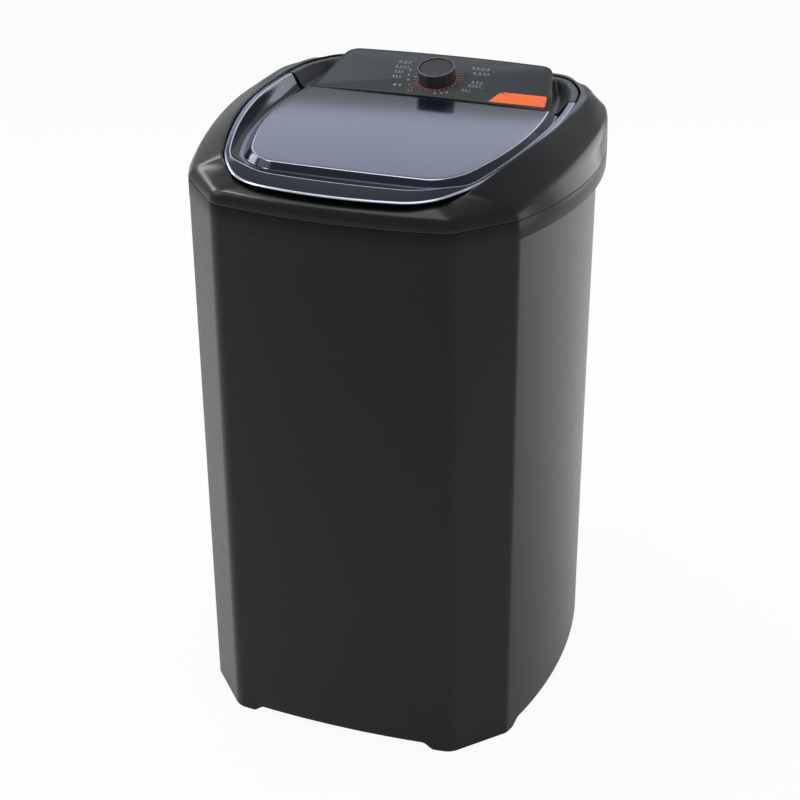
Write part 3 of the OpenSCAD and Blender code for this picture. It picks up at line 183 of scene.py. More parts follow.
def distance(p, q):
    """Distances between the points of two rings."""
    return np.linalg.norm(q - p, axis=1)


def towards(p, q, reach):
    """The points of ring p moved by reach towards those of ring q."""
    return p + (q - p) * (reach / np.maximum(distance(p, q), 1e-9))[:, None]


def section(path, radii, steps):
    """Rings along a path of outlines, with the path's inner corners rounded."""
    rings = [path[0]]
    for before, p, after, radius, n in zip(path, path[1:], path[2:], radii, steps):
        reach = np.minimum(radius, CURVE_SHARE * np.minimum(distance(p, before), distance(p, after)))
        rings += corner(towards(p, before, reach), p, towards(p, after, reach), n)
    return rings + [path[-1]]


def bend(before, p, after, ra, rb, n):
    """Rings round the corner at p, from up to ra mm before it to up to rb mm after it."""
    start = towards(p, before, np.minimum(ra, 2 * CURVE_SHARE * distance(p, before)))
    end = towards(p, after, np.minimum(rb, 2 * CURVE_SHARE * distance(p, after)))
    return corner(start, p, end, n)


# Meshes and objects
SHARP_ANGLE = 38             # degrees between faces from which an edge is shaded sharp
MERGE = 2e-6                 # metres within which corners become one


def add_object(name, data):
    """New object in the scene."""
    obj = bpy.data.objects.new(name, data)
    scene.collection.objects.link(obj)
    return obj


def mend(mesh):
    """Joins corners that coincide and turns all faces outwards."""
    bm = bmesh.new()
    bm.from_mesh(mesh)
    bmesh.ops.remove_doubles(bm, verts=bm.verts, dist=MERGE)
    bmesh.ops.recalc_face_normals(bm, faces=bm.faces)
    bm.to_mesh(mesh)
    bm.free()


def shade(mesh, angle):
    """Smooth shading, with the edges sharper than angle left sharp."""
    mesh.shade_smooth()
    mesh.set_sharp_from_angle(angle=math.radians(angle))


def mesh_object(name, verts, faces, body, slot, replaces, angle=SHARP_ANGLE, marks=None):
    """New piece, from corners in mm. marks gives each face the number of its material."""
    mesh = bpy.data.meshes.new(name)
    mesh.from_pydata([tuple(v) for v in np.asarray(verts, float) * MM], [], faces)
    if marks:
        mesh.polygons.foreach_set("material_index", marks)
    mesh.validate()
    mend(mesh)
    shade(mesh, angle)
    obj = add_object(name, mesh)
    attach(obj, body)
    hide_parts(*replaces)
    return obj


def quads(rows, count, around=True, loop=False, first=0):
    """Faces between rows of count points each, numbered from first.

    around joins each row's end to its start, and loop the last row to the first."""
    faces = []
    for i in range(rows if loop else rows - 1):
        for j in range(count if around else count - 1):
            k, q = (i + 1) % rows, (j + 1) % count
            ids = (i * count + j, i * count + q, k * count + q, k * count + j)
            faces.append(tuple(first + c for c in ids))
    return faces


def loft(name, rings, body, closed=False, caps=False, edge_rows=(), **more):
    """Skin through rings of equal length; closed joins the last ring to the first, caps fill both.

    The rows of faces that follow the rings in edge_rows take the piece's second material."""
    n, m = len(rings[0]), len(rings)
    faces = quads(m, n, loop=closed)
    verts = list(np.concatenate(rings))
    for i in ((0, m - 1) if caps else ()):
        centre = len(verts)
        verts.append(np.mean(rings[i], axis=0))
        for j in range(n):
            tri = (i * n + j, i * n + (j + 1) % n, centre)
            faces.append(tri if i else tri[::-1])
    if edge_rows:
        more["marks"] = [int(k < n * m and k // n in edge_rows) for k in range(len(faces))]
    return mesh_object(name, verts, faces, body, **more)


def cut(obj, *cutters):
    """Takes the cutters out of obj and deletes them."""
    for cutter in cutters:
        mod = obj.modifiers.new("cut", "BOOLEAN")
        mod.operation = "DIFFERENCE"
        mod.solver = "EXACT"
        mod.object = cutter
    bpy.context.view_layer.update()
    depsgraph = bpy.context.evaluated_depsgraph_get()
    mesh = bpy.data.meshes.new_from_object(obj.evaluated_get(depsgraph))
    mesh.name = obj.data.name + "_cut"
    obj.modifiers.clear()
    obj.data = mesh
    shade(mesh, SHARP_ANGLE)
    for cutter in cutters:
        bpy.data.objects.remove(cutter)


def prism(points, low, high, along_y=False):
    """Loose closed prism for cutting, on an outline in x and y, or in x and z where it runs along y."""
    n = len(points)
    verts = [(a, h, b) if along_y else (a, b, h) for h in (low, high) for a, b in points]
    faces = [tuple(range(n))[::-1], tuple(range(n, 2 * n))] + quads(2, n)
    mesh = bpy.data.meshes.new("cutter")
    mesh.from_pydata([tuple(c * MM for c in v) for v in verts], [], faces)
    mend(mesh)
    return add_object("cutter", mesh)


# Camera, fitted to the photograph: places in metres, lens and sensor in mm
AZIMUTH = math.radians(19.32)
ELEVATION = math.radians(27.43)
DISTANCE = 2.750
LOOK_AT = Vector((0, -0.009, 0.4596))
LENS = 76.5
SENSOR = 36

back = Vector((math.sin(AZIMUTH) * math.cos(ELEVATION), -math.cos(AZIMUTH) * math.cos(ELEVATION),
               math.sin(ELEVATION)))
right = Vector((math.cos(AZIMUTH), math.sin(AZIMUTH), 0))
turn = Matrix((right, back.cross(right), back)).transposed().to_4x4()
camera_data = bpy.data.cameras.new("camera")
camera_data.lens = LENS
camera_data.sensor_width = SENSOR
camera = add_object("camera", camera_data)
camera.matrix_world = Matrix.Translation(LOOK_AT + back * DISTANCE) @ turn
scene.camera = camera

# Materials, as colour, roughness, specular level and what else sets the finish apart
PLASTIC_GRAIN = 1400         # grains per metre of the fine moulded plastics
CAST_GRAIN = 500
LOOKS = {
    "cabinet_plastic": ((0.0042, 0.0044, 0.0048), 0.27, 0.29,
                        {"grain": 0.10, "grain_scale": PLASTIC_GRAIN, "rough_vary": 0.04}),
    "frame_plastic": ((0.0055, 0.0058, 0.0063), 0.25, 0.36,
                      {"grain": 0.06, "grain_scale": PLASTIC_GRAIN, "rough_vary": 0.04}),
    "console_plastic": ((0.016, 0.0165, 0.018), 0.38, 0.4, {"grain": 0.1, "grain_scale": PLASTIC_GRAIN}),
    "console_film": ((0.040, 0.044, 0.046), 0.48, 0.18, {"grain": 0.05}),
    "badge_plastic": ((1.0, 0.16, 0.028), 0.34, 0.45, {"vary": 0.04}),
    "lid_plastic": ((0.005, 0.0065, 0.014), 0.115, 0.55, {"rough_vary": 0.02, "tint": (0.75, 0.82, 1.0)}),
    # Pale, part metallic paint on the lid's rounded edges: a painted highlight for the light lines they
    # catch
    "lid_edge_painted_highlight": ((0.50, 0.54, 0.64), 0.2, 0.5, {"metal": 0.5, "vary": 0.06, "rough_vary": 0.03}),
    "knob_plastic": ((0.048, 0.049, 0.053), 0.36, 0.5, {"grain": 0.08}),
    # Lighter grey for the knob's chamfered lip: a painted highlight for the light line it catches
    "knob_lip_painted_highlight": ((0.11, 0.113, 0.12), 0.3, 0.5, {"vary": 0.08, "grain": 0.05}),
    "knob_disc_plastic": ((0.030, 0.031, 0.034), 0.42, 0.4, {"grain": 0.1}),
    "tub_plastic": ((0.60, 0.62, 0.63), 0.35, 0.5, {"vary": 0.04, "grain": 0.05}),
    "base_plastic": ((0.03, 0.031, 0.033), 0.5, 0.4, {"grain": 0.2}),
    "foot_rubber": ((0.018, 0.018, 0.018), 0.75, 0.3, {"grain": 0.3}),
    "seal_rubber": ((0.016, 0.016, 0.017), 0.6, 0.35, {"grain": 0.2}),
    "screw_steel": ((0.62, 0.62, 0.60), 0.28, 0.5, {"metal": 1.0, "vary": 0.06}),
    "shaft_steel": ((0.64, 0.65, 0.66), 0.22, 0.5, {"metal": 1.0, "vary": 0.05, "stretch": (1, 1, 14)}),
    "timer_plastic": ((0.72, 0.69, 0.6), 0.5, 0.4, {"vary": 0.04, "grain": 0.1}),
    "agitator_plastic": ((0.72, 0.74, 0.74), 0.28, 0.5, {"vary": 0.03, "grain": 0.04}),
    "filter_plastic": ((0.05, 0.06, 0.11), 0.4, 0.45, {"grain": 0.08}),
    "pulley_aluminium": ((0.68, 0.69, 0.7), 0.3, 0.5, {"metal": 1.0, "vary": 0.06, "stretch": (1, 1, 9)}),
    "housing_aluminium": ((0.5, 0.51, 0.52), 0.55, 0.5,
                          {"metal": 1.0, "grain": 0.5, "grain_scale": CAST_GRAIN}),
    "bearing_steel": ((0.6, 0.61, 0.62), 0.2, 0.5, {"metal": 1.0, "vary": 0.04}),
    "bracket_steel": ((0.42, 0.43, 0.44), 0.42, 0.5, {"metal": 0.9, "vary": 0.14}),
    "motor_paint": ((0.045, 0.048, 0.052), 0.45, 0.5, {"grain": 0.35, "grain_scale": CAST_GRAIN}),
    "belt_rubber": ((0.02, 0.02, 0.021), 0.7, 0.3, {"grain": 0.4, "grain_scale": 700}),
    "capacitor_plastic": ((0.74, 0.74, 0.7), 0.4, 0.4, {"vary": 0.04}),
    "pipe_plastic": ((0.12, 0.125, 0.13), 0.5, 0.4, {"grain": 0.15}),
    "net_fabric": ((0.42, 0.47, 0.55), 0.7, 0.3, {"vary": 0.1, "grain": 0.6, "grain_scale": 1200}),
    "print_white": ((0.50, 0.51, 0.51), 0.5, 0.3, {"vary": 0.05}),
    "print_orange": ((0.52, 0.13, 0.04), 0.5, 0.3, {"vary": 0.05}),
    "print_grey": ((0.30, 0.31, 0.32), 0.5, 0.3, {"vary": 0.05}),
}
DRIFT_SCALE = 6.0            # patches per metre of the broad colour drift
MOTTLE_SCALE = 240.0
ROUGH_SCALE = 54.0
GRAIN_DEPTH = 0.0002         # metres


def material(name, color, rough, spec, metal=0.0, grain=0.0, grain_scale=900.0, vary=0.12,
             rough_vary=0.08, stretch=(1, 1, 1), tint=(1, 1, 1)):
    """Procedural finish: broad colour drift, fine mottling, roughness patches and a surface grain."""
    mat = bpy.data.materials.new(name)
    mat.use_nodes = True
    nt = mat.node_tree
    bsdf = nt.nodes["Principled BSDF"]
    bsdf.inputs["Metallic"].default_value = metal
    bsdf.inputs["Specular IOR Level"].default_value = spec
    bsdf.inputs["Specular Tint"].default_value = tuple(tint) + (1,)
    coord = nt.nodes.new("ShaderNodeTexCoord")
    mapping = nt.nodes.new("ShaderNodeMapping")
    mapping.inputs["Scale"].default_value = stretch
    nt.links.new(coord.outputs["Object"], mapping.inputs["Vector"])

    def noise(scale, detail):
        node = nt.nodes.new("ShaderNodeTexNoise")
        node.inputs["Scale"].default_value = scale
        node.inputs["Detail"].default_value = detail
        nt.links.new(mapping.outputs["Vector"], node.inputs["Vector"])
        return node.outputs["Fac"]

    blend = nt.nodes.new("ShaderNodeMix")
    blend.data_type = "FLOAT"
    blend.inputs["Factor"].default_value = 0.35
    nt.links.new(noise(DRIFT_SCALE, 3.0), blend.inputs[2])
    nt.links.new(noise(MOTTLE_SCALE, 5.0), blend.inputs[3])
    ramp = nt.nodes.new("ShaderNodeValToRGB")
    dark, light = ramp.color_ramp.elements
    dark.position, light.position = 0.25, 0.75
    dark.color = tuple(c * (1 - vary) for c in color) + (1,)
    light.color = tuple(min(1, c * (1 + vary)) for c in color) + (1,)
    nt.links.new(blend.outputs[0], ramp.inputs["Fac"])
    nt.links.new(ramp.outputs["Color"], bsdf.inputs["Base Color"])
    rough_map = nt.nodes.new("ShaderNodeMapRange")
    rough_map.inputs["To Min"].default_value = max(0.02, rough - rough_vary)
    rough_map.inputs["To Max"].default_value = min(1, rough + rough_vary)
    nt.links.new(noise(ROUGH_SCALE, 4.0), rough_map.inputs["Value"])
    nt.links.new(rough_map.outputs["Result"], bsdf.inputs["Roughness"])
    if grain:
        bump = nt.nodes.new("ShaderNodeBump")
        bump.inputs["Strength"].default_value = grain
        bump.inputs["Distance"].default_value = GRAIN_DEPTH
        nt.links.new(noise(grain_scale, 2.0), bump.inputs["Height"])
        nt.links.new(bump.outputs["Normal"], bsdf.inputs["Normal"])
    return mat


MATS = {name: material(name, *look, **more) for name, (*look, more) in LOOKS.items()}


def paint(obj, *names):
    """Gives the piece these materials. Its faces keep their marks where there are several."""
    marks = [p.material_index for p in obj.data.polygons]
    obj.data.materials.clear()
    for name in names:
        obj.data.materials.append(MATS[name])
    if len(names) > 1:
        obj.data.polygons.foreach_set("material_index", marks)


for row in frame["record"]["subparts"]:
    paint(NODES[row["node"]], row["material_slot"])

# Cabinet
BASE_BOWS = (11.0, 34.0, 0.0)
WALL_BOWS = (FRONT_BOW, WALL_BOW, 0.0)
BAND_BOWS = (FRONT_BOW, BAND_BOW, 0.0)
FOOT_X = (136, 155)          # the lower edge comes down to the front and rear feet between these
FOOT_SIDE = 22               # how far the side feet reach in from the outline's side corners
CUT_DEPTH = 20               # how far the cutters reach before and behind the rear wall
COVER_HOLE = [(-130, 110), (130, 110), (130, 430), (-130, 430)]
DRAIN_X, DRAIN_Z, DRAIN_R = -150, 74, 30     # arched opening for the drain outlet
DRAIN_FOOT = 20                              # its lower end
# Underside of the band, as shares of the way out from the wall and heights over BAND_Z
LEDGE = [(0, -6.5), (0.02, -4), (0.05, -2.4), (0.1, -1.2), (0.18, -0.4), (0.3, 0), (0.9, 0), (0.955, 0.3),
         (0.982, 0.9), (0.995, 1.7), (1, 2.8)]

base = plan(BASE, BASE_BOWS, BAND_R)
wall = plan(BAND, WALL_BOWS, BAND_R)
band = plan(BAND, BAND_BOWS, BAND_R)


def inner(corners, bows, d):
    """Outline of the cabinet's family, d further in."""
    return plan(inset(corners, d), bows, BAND_R)


def foot_edge(pts):
    """Height of the cabinet's lower edge: down at the four feet, raised between them."""
    x, y = np.abs(pts[:, 0]), pts[:, 1]
    mid = (BASE[1][1] + BASE[2][1]) / 2
    half = (BASE[2][1] - BASE[1][1]) / 2 - FOOT_SIDE
    ends = (1 - smooth(*FOOT_X, x)) * (np.abs(y - mid) > half + 20)
    sides = (1 - smooth(half - 12, half + 7, np.abs(y - mid))) * (x > 200)
    return 1 + (FOOT_H - 1) * np.maximum(ends, sides)


def between(start, end, share, z):
    """Ring at a share of the way from one outline to another."""
    return lift(start + (end - start) * share, z)


low = foot_edge(base)
base_in = inner(BASE, BASE_BOWS, CAB_T)
wall_in = inner(BAND, WALL_BOWS, CAB_T)
band_in = inner(BAND, BAND_BOWS, CAB_T)
# Rings up the outside from the lower edge, over the top edge and down the inside
rings = [lift(inner(BASE, BASE_BOWS, 1.4), low), lift(inner(BASE, BASE_BOWS, 0.4), low + 0.4),
         lift(base, low + 1.4), lift(base, np.maximum(low + 3, 4))]
rings += [between(base, wall, (z - 1) / (BAND_Z - 3), z) for z in np.linspace(18, BAND_Z - 9, 15)]
rings += [between(wall, band, share, BAND_Z + z) for share, z in LEDGE]
rings += [lift(band, CAB_TOP - 1.2), lift(inner(BAND, BAND_BOWS, 0.4), CAB_TOP - 0.3),
          lift(inner(BAND, BAND_BOWS, 1.2), CAB_TOP), lift(band_in, CAB_TOP),
          lift(band_in, BAND_Z + CAB_T), lift(wall_in, BAND_Z + CAB_T - 2),
          lift(base_in, np.maximum(low + 3, 16)), lift(base_in, low)]
cabinet = loft("cabinet", rings, "body", closed=True, slot="cabinet_plastic", replaces=["cabinet_shell"])
arch = [(DRAIN_X - DRAIN_R, DRAIN_FOOT), (DRAIN_X + DRAIN_R, DRAIN_FOOT), (DRAIN_X + DRAIN_R, DRAIN_Z)]
arch += [(DRAIN_X + DRAIN_R * math.cos(a), DRAIN_Z + DRAIN_R * math.sin(a))
         for a in np.linspace(0.1, math.pi - 0.1, 17)]
arch += [(DRAIN_X - DRAIN_R, DRAIN_Z)]
cut(cabinet, *(prism(shape, REAR_Y - CUT_DEPTH, REAR_Y + CUT_DEPTH, True) for shape in (COVER_HOLE, arch)))
paint(cabinet, "cabinet_plastic")

# Top frame
RIM_BOWS = (12, RIM_BOW, 0)
MOUTH_BOWS = (8, 8, 2)
RIM_FALL = 33                # of the rim towards the front, by RIM_FALL_OVER before RIM_FALL_Y
RIM_FALL_Y, RIM_FALL_OVER = -60, 230
RIM_DIP = 5                  # of the rim under the lid's front lip
RIM_DIP_Y = (-300, -270, -248, -236)
SHOULDER = 38                # greatest height over the seam of the crease at the crown's outer edge
SHOULDER_FALL = 23           # of the crease towards the front, from SHOULDER_Y on
SHOULDER_Y = 120
REAR_FALL = 26               # of the crease towards the back, in the stretch REAR_FALL_Y
REAR_FALL_Y = (170, 290)
CREASE_SHARE = 0.2           # greatest share of the way to the rim at which the crease lies
CREASE_Y, CREASE_REACH = -90, 290    # where it is greatest, and how far from there it is back at 0
REAR_CREASE = 0.13           # added to it in the stretch REAR_CREASE_Y
REAR_CREASE_Y = (190, 300)
CROWN_BOW = 4                # of the crown's surface between crease and rim, for a bulge of 1
REAR_BULGE = 11              # added to its bulge in the stretch REAR_BULGE_Y
REAR_BULGE_Y = (60, 240)
CROWN_SHARE = 0.97           # of the way in, at which the crown has reached the rim's height
# Flange in the seam, as distances in from the band and heights over the seam
FLANGE = ((1.7, 0.2), (1.7, -1.7), (0.9, -1.7), (0.9, -0.3), (0.3, -0.3))


def rim_at(y):
    """Height of the rim, which falls towards the front and dips under the lid's lip."""
    fall = RIM_FALL * np.maximum(0, (RIM_FALL_Y - y) / RIM_FALL_OVER) ** 2
    return RIM_Z - fall - RIM_DIP * np.interp(y, RIM_DIP_Y, (0, 1, 1, 0))


def shoulder_at(y):
    """Height of the crease, which falls towards the front and towards the back."""
    fall = np.clip((SHOULDER_Y - y) / (SHOULDER_Y - BAND[1][1]), 0, 1) ** 1.2
    return SEAM + SHOULDER - SHOULDER_FALL * fall - REAR_FALL * smooth(*REAR_FALL_Y, y)


def crease_at(y):
    """Share of the way to the rim at which the crease over the band lies."""
    angle = np.clip((y - CREASE_Y) * 180 / CREASE_REACH, -180, 180)
    return CREASE_SHARE / 2 * (1 + np.cos(np.radians(angle))) + REAR_CREASE * smooth(*REAR_CREASE_Y, y)


def bulge_at(y):
    """How many times CROWN_BOW the crown bulges, most of all at the rear."""
    return 1 + REAR_BULGE * smooth(*REAR_BULGE_Y, y)


rim = plan(RIM, RIM_BOWS, RIM_R)
rim_wall = plan(inset(RIM, 1), RIM_BOWS, RIM_R)
deck = plan(inset(RIM, -FRAME_T), RIM_BOWS, RIM_R)
mouth = plan(MOUTH, MOUTH_BOWS, MOUTH_R)
mouth_out = plan(inset(MOUTH, -FRAME_T), MOUTH_BOWS, MOUTH_R)
band_under = inner(BAND, BAND_BOWS, FRAME_T)
crease_share = crease_at(band[:, 1])[:, None]
crease = band + (rim - band) * crease_share
crease_under = band_under + (deck - band_under) * crease_share
shoulder = shoulder_at(band[:, 1])
top = np.maximum(rim_at(rim[:, 1]), shoulder + 8)


def crown(u):
    """Ring of the crown at share u of the way from the crease to the rim."""
    s = min(1, u / CROWN_SHARE)
    z = shoulder + (top - shoulder) * s + CROWN_BOW * bulge_at(band[:, 1]) * s * (1 - s)
    return between(crease, rim, u, z)


# The crease's rounding reaches further at the front, and furthest on the two front facets
in_front = 1 - smooth(-240, -200, band[:, 1])
on_facet = in_front * smooth(160, 186, np.abs(band[:, 0]))
reach_below = 9 + 6 * in_front
reach_above = 9 + 3 * in_front + 10 * on_facet
# Rings up the outside from the flange, over the crown, down the mouth and back on the underside
rings = [lift(inner(BAND, BAND_BOWS, d), SEAM + z) for d, z in FLANGE] + [lift(band, SEAM + 0.3)]
rings += bend(lift(band, SEAM + 0.3), lift(crease, shoulder), crown(0.3), reach_below, reach_above, 12)
rings += [crown(0.3)] + [crown(u) for u in np.linspace(0.34, 0.9, 15)]
rings += section([crown(0.92), lift(rim, top), lift(rim_wall, DECK_Z), lift(mouth, DECK_Z),
                  lift(mouth, DECK_Z - COLLAR)], radii=[2.8, 4, 3], steps=[7, 6, 4])
rings += [lift(mouth_out, DECK_Z - COLLAR), lift(mouth_out, DECK_Z - FRAME_T), lift(deck, DECK_Z - FRAME_T),
          between(deck, crease_under, 0.1, top - FRAME_T - 2), lower(crown(0.45), FRAME_T + 1),
          lift(crease_under, shoulder - FRAME_T), lift(band_under, SEAM)]
top_frame = loft("frame_top", rings, "body", closed=True, slot="frame_plastic", replaces=["top_frame"])
paint(top_frame, "frame_plastic")

# Lid
TAIL_Y = CONSOLE_Y + 5       # rear ends of the lid's two tails
OVERRUN_Y = 165.0            # how far back the lid's sides run before they are cut off
LID_REAR = CONSOLE_Y - 2
# Front corners of the lip, the ridge behind it, the groove and the panel
LIP = v2(FRONT_X - 34, FRONT_Y + 26)
RIDGE = v2(126, -268.5)
GROOVE = v2(131, -237)
PANEL = v2(128, -229)
# Half widths at the lid's back edge
GROOVE_X = CONSOLE_F + 18.5
PANEL_X = CONSOLE_F + 5
# Greatest heights, how far each falls and over what length, and how much higher the ridge is than the lip
FLANGE_Z, FLANGE_FALL, FLANGE_LENGTH = SEAM + 60, 26, 310
PANEL_Z, PANEL_FALL, PANEL_LENGTH = SEAM + 46, 3, 180
GROOVE_Z, GROOVE_FALL, GROOVE_LENGTH = SEAM + 37, 6, 340
PANEL_TOP_Y, GROOVE_LOW_Y = -50, -224
RIDGE_RISE = 5.5
# The cutter behind the lid
CUT_X, CUT_Y = 262, 260
CUT_LOW, CUT_HIGH = 850, 1000


def rim_share(y):
    """Share of the way along the rim's side at the place y."""
    return (y - RIM_SIDE[1]) / (RIM_BACK[1] - RIM_SIDE[1])


def on_rim(y):
    """Place on the bowed side of the rim's outline."""
    return arc_at(RIM_SIDE, RIM_BACK, RIM_BOW, rim_share(y))


def lid_plan(front, side, tail, front_bow, side_bow, radii):
    """A lid outline whose side arc runs on past the tail, to be cut off later."""
    k = (OVERRUN_Y - side[1]) / (tail[1] - side[1])
    end = arc_at(side, tail, side_bow, k)
    corners = [front, side, end, end + v2(-5, 7), end + v2(-12, 7)]
    return plan(corners, (front_bow, side_bow * k * k, 0), [*radii, 2, 2, 2])


tail = on_rim(TAIL_Y) - v2(LID_GAP, 0)
lid_bow = RIM_BOW * rim_share(TAIL_Y) ** 2
lid_outer = lid_plan(LIP, RIM_SIDE - v2(LID_GAP, 0), tail, 14, lid_bow, (38, 28))
lid_inner = lid_plan(RIDGE, RIM_SIDE + v2(-9, 2), tail - v2(FLANGE_W, 2), 4, lid_bow * 0.98, (30, 24))
groove = lid_plan(GROOVE, v2(PANEL_X - 27.5, -207), v2(GROOVE_X, LID_REAR + 0.7), 3, 20, (20, 20))
panel = lid_plan(PANEL, v2(PANEL_X - 37.5, -200), v2(PANEL_X, LID_REAR - 0.8), 2, 19.5, (20, 20))
middle = v2(0, (PANEL[1] + LID_REAR) / 2)


def flange_at(y):
    """Height of the lid's outer edge, which falls towards the front as the rim does."""
    return FLANGE_Z - FLANGE_FALL * (np.maximum(0, -y) / FLANGE_LENGTH) ** 1.5


def panel_at(y):
    """Height of the panel, which is slightly crowned."""
    return PANEL_Z - PANEL_FALL * ((y - PANEL_TOP_Y) / PANEL_LENGTH) ** 2


def groove_at(y):
    """Height of the groove's floor, which falls towards the front."""
    return GROOVE_Z - GROOVE_FALL * (1 - np.clip((y - GROOVE_LOW_Y) / GROOVE_LENGTH, 0, 1))


z_outer = flange_at(lid_outer[:, 1])
z_inner = z_outer + RIDGE_RISE * (1 - smooth(-262, -225, lid_inner[:, 1]))
z_groove = groove_at(groove[:, 1])
z_panel = panel_at(panel[:, 1])


def core(k):
    """Ring of the panel at share k of the way out from its middle."""
    pts = middle + (panel - middle) * k
    return lift(pts, panel_at(pts[:, 1]))


def valley(t):
    """Row over the groove, from its floor at 0 up to the flange's inner edge at 1."""
    return between(groove, lid_inner, t, z_groove + (z_inner - z_groove) * t ** 1.6)


# Rings of the skin from the panel's middle outwards, then those of the underside back to the middle.
# The rows painted pale run along the panel's rounded edge and along both edges of the flange: a painted
# highlight standing in for the light lines that these rounded edges catch.
inwards = lid_inner - lid_outer
inwards /= np.linalg.norm(inwards, axis=1)[:, None]
skin = [core(k) for k in (0.06, 0.2, 0.4, 0.6, 0.8)]
painted_highlight_rows = {len(skin) + k for k in (3, 4, 5)}
skin += section([core(0.93), lift(panel, z_panel), lift(groove, z_groove), valley(0.3)],
                radii=[3.0, 5], steps=[8, 6])
skin += [valley(t) for t in (0.36, 0.45, 0.55, 0.65, 0.75, 0.84)]
painted_highlight_rows |= {len(skin) + k for k in (3, 4, 5, 8, 9, 10, 11, 12)}
skin += section([valley(0.88), lift(lid_inner, z_inner), lift(lid_outer + inwards * 2.2, z_outer),
                 lift(lid_outer, z_outer - 1.5), lift(lid_outer, z_outer - LID_T),
                 between(lid_outer, lid_inner, 0.1, z_outer - LID_T)],
                radii=[2.4, 0.5, 0.5, 0.6], steps=[6, 2, 2, 3])
under = section([between(lid_outer, lid_inner, 0.15, z_outer), between(lid_outer, lid_inner, 0.85, z_inner),
                 valley(0.5), lift(groove, z_groove), between(groove, panel, 1.3, z_panel), core(0.9)],
                radii=[3, 4, 4, 3], steps=[3, 3, 3, 3])
under += [core(k) for k in (0.5, 0.06)]
lid = loft("lid_moulding", skin + [lower(ring, LID_T) for ring in under], "lid", caps=True,
           edge_rows=painted_highlight_rows, slot="lid_plastic", replaces=["lid"])
# The second material paints highlights onto the lid's rounded edges
paint(lid, "lid_plastic", "lid_edge_painted_highlight")


def rear_cut():
    """Outline of all that lies behind the lid's back edge."""
    side = [(CUT_X, 160), (238.5, tail[1] + 0.4), (GROOVE_X, LID_REAR + 1.5), (CONSOLE_F, LID_REAR)]
    ends = v2(CONSOLE_F - 1.5, LID_REAR), v2(1.5 - CONSOLE_F, LID_REAR)
    arc = [tuple(arc_at(*ends, CONSOLE_BOW, t)) for t in np.linspace(0, 1, 41)]
    return side + arc + [(-x, y) for x, y in side[::-1]] + [(-CUT_X, CUT_Y), (CUT_X, CUT_Y)]


cut(lid, prism(rear_cut(), CUT_LOW, CUT_HIGH))

# Bosses of the lid round its two hinge pins
HINGE_Y, HINGE_Z = TAIL_Y - 9, SEAM + 53
BOSS_POINTS = 24
# Each boss as radii and places along the pin, from the rim's side
BOSS = ((0.01, -10), (4.9, -10), (5.5, -9.4), (5.5, -2.1), (4.9, -1.5), (0.01, -1.5))


def boss_ring(side, r, x):
    """Ring round the hinge pin, on the side -1 or 1 of the lid."""
    a = np.linspace(0, 2 * math.pi, BOSS_POINTS, endpoint=False)
    along = np.full(BOSS_POINTS, side * (on_rim(HINGE_Y)[0] + x))
    return np.column_stack([along, HINGE_Y + r * np.cos(a), HINGE_Z + r * np.sin(a)])


boss_rings = [boss_ring(side, r, x) for side in (-1, 1) for r, x in BOSS]
boss_faces = [face for first in (0, len(BOSS) * BOSS_POINTS)
              for face in quads(len(BOSS), BOSS_POINTS, first=first)]
bosses = mesh_object("lid_bosses", np.concatenate(boss_rings), boss_faces, "lid", slot="lid_plastic",
                     replaces=["lid"])
paint(bosses, "lid_plastic")

# Console
CONSOLE_BACK = CONSOLE_Y + CONSOLE_D
CORNER_R = 22.0
CORNER_LEAN = 0.15           # by which the sides lean out where the rear corners start
tilt = Matrix.Translation(Vector((0, CONSOLE_Y, CONSOLE_Z)) * MM) @ Matrix.Rotation(TILT, 4, "X")


def plane_z(y, h=0.0):
    """Height of the console's face over the place y, or of the level h mm under it."""
    return CONSOLE_Z + (np.asarray(y, float) - CONSOLE_Y) * math.tan(TILT) - h / math.cos(TILT)


def console_outline(d):
    """Outline of the console in plan, d mm further in."""
    f, r, y0, y1 = CONSOLE_F - d, CONSOLE_R - d, CONSOLE_Y + d, CONSOLE_BACK - d
    side_end, rear_end = v2(r + CORNER_R * CORNER_LEAN, y1 - CORNER_R), v2(r - CORNER_R, y1)
    front = [arc_at(v2(f, y0), v2(-f, y0), CONSOLE_BOW, t) for t in np.linspace(0, 1, 41)]
    side = [front[0] + (side_end - front[0]) * k / 12 for k in range(1, 12)]
    side += corner(side_end, v2(r, y1), rear_end, 12)
    rear = [arc_at(rear_end, v2(-rear_end[0], y1), REAR_BOW, t) for t in np.linspace(0, 1, 31)[1:-1]]
    return np.array(front[::-1] + side + rear + [v2(-x, y) for x, y in side[::-1]])


def console_ring(d, h):
    """Ring d mm inside the console's outline and h mm under its face."""
    pts = console_outline(d)
    return lift(pts, plane_z(pts[:, 1], h))


# Rings down the inside to the deck, up the outside and over the top edge
walls = [console_ring(3, PLATE_T + 3), lift(console_outline(3), DECK_Z), lift(console_outline(0), DECK_Z)]
walls += [console_ring(d, PLATE_T + h) for d, h in ((0, 1.6), (0.3, 1.2), (1.1, 1.1), (1.2, 0))]
console_walls = loft("console_walls", walls, "body", caps=True, slot="console_plastic",
                     replaces=["console_housing"])
paint(console_walls, "console_plastic")

# The face plate's lower edge, its rounded upper edge and the groove round it
FACE_EDGE = ((0.6, PLATE_T), (0.15, PLATE_T - 0.2), (0, PLATE_T - 0.6), (0, 1.2), (0.12, 0.72), (0.45, 0.28),
             (0.9, 0.07), (1.4, 0), (2.7, 0), (2.9, 0.12), (3.1, 0.4), (3.6, 0.4), (3.8, 0.12), (4.0, 0))
console_face = loft("console_face", [console_ring(d, h) for d, h in FACE_EDGE], "body", caps=True,
                    slot="console_film", replaces=["console_plate"], angle=50)
paint(console_face, "console_film")

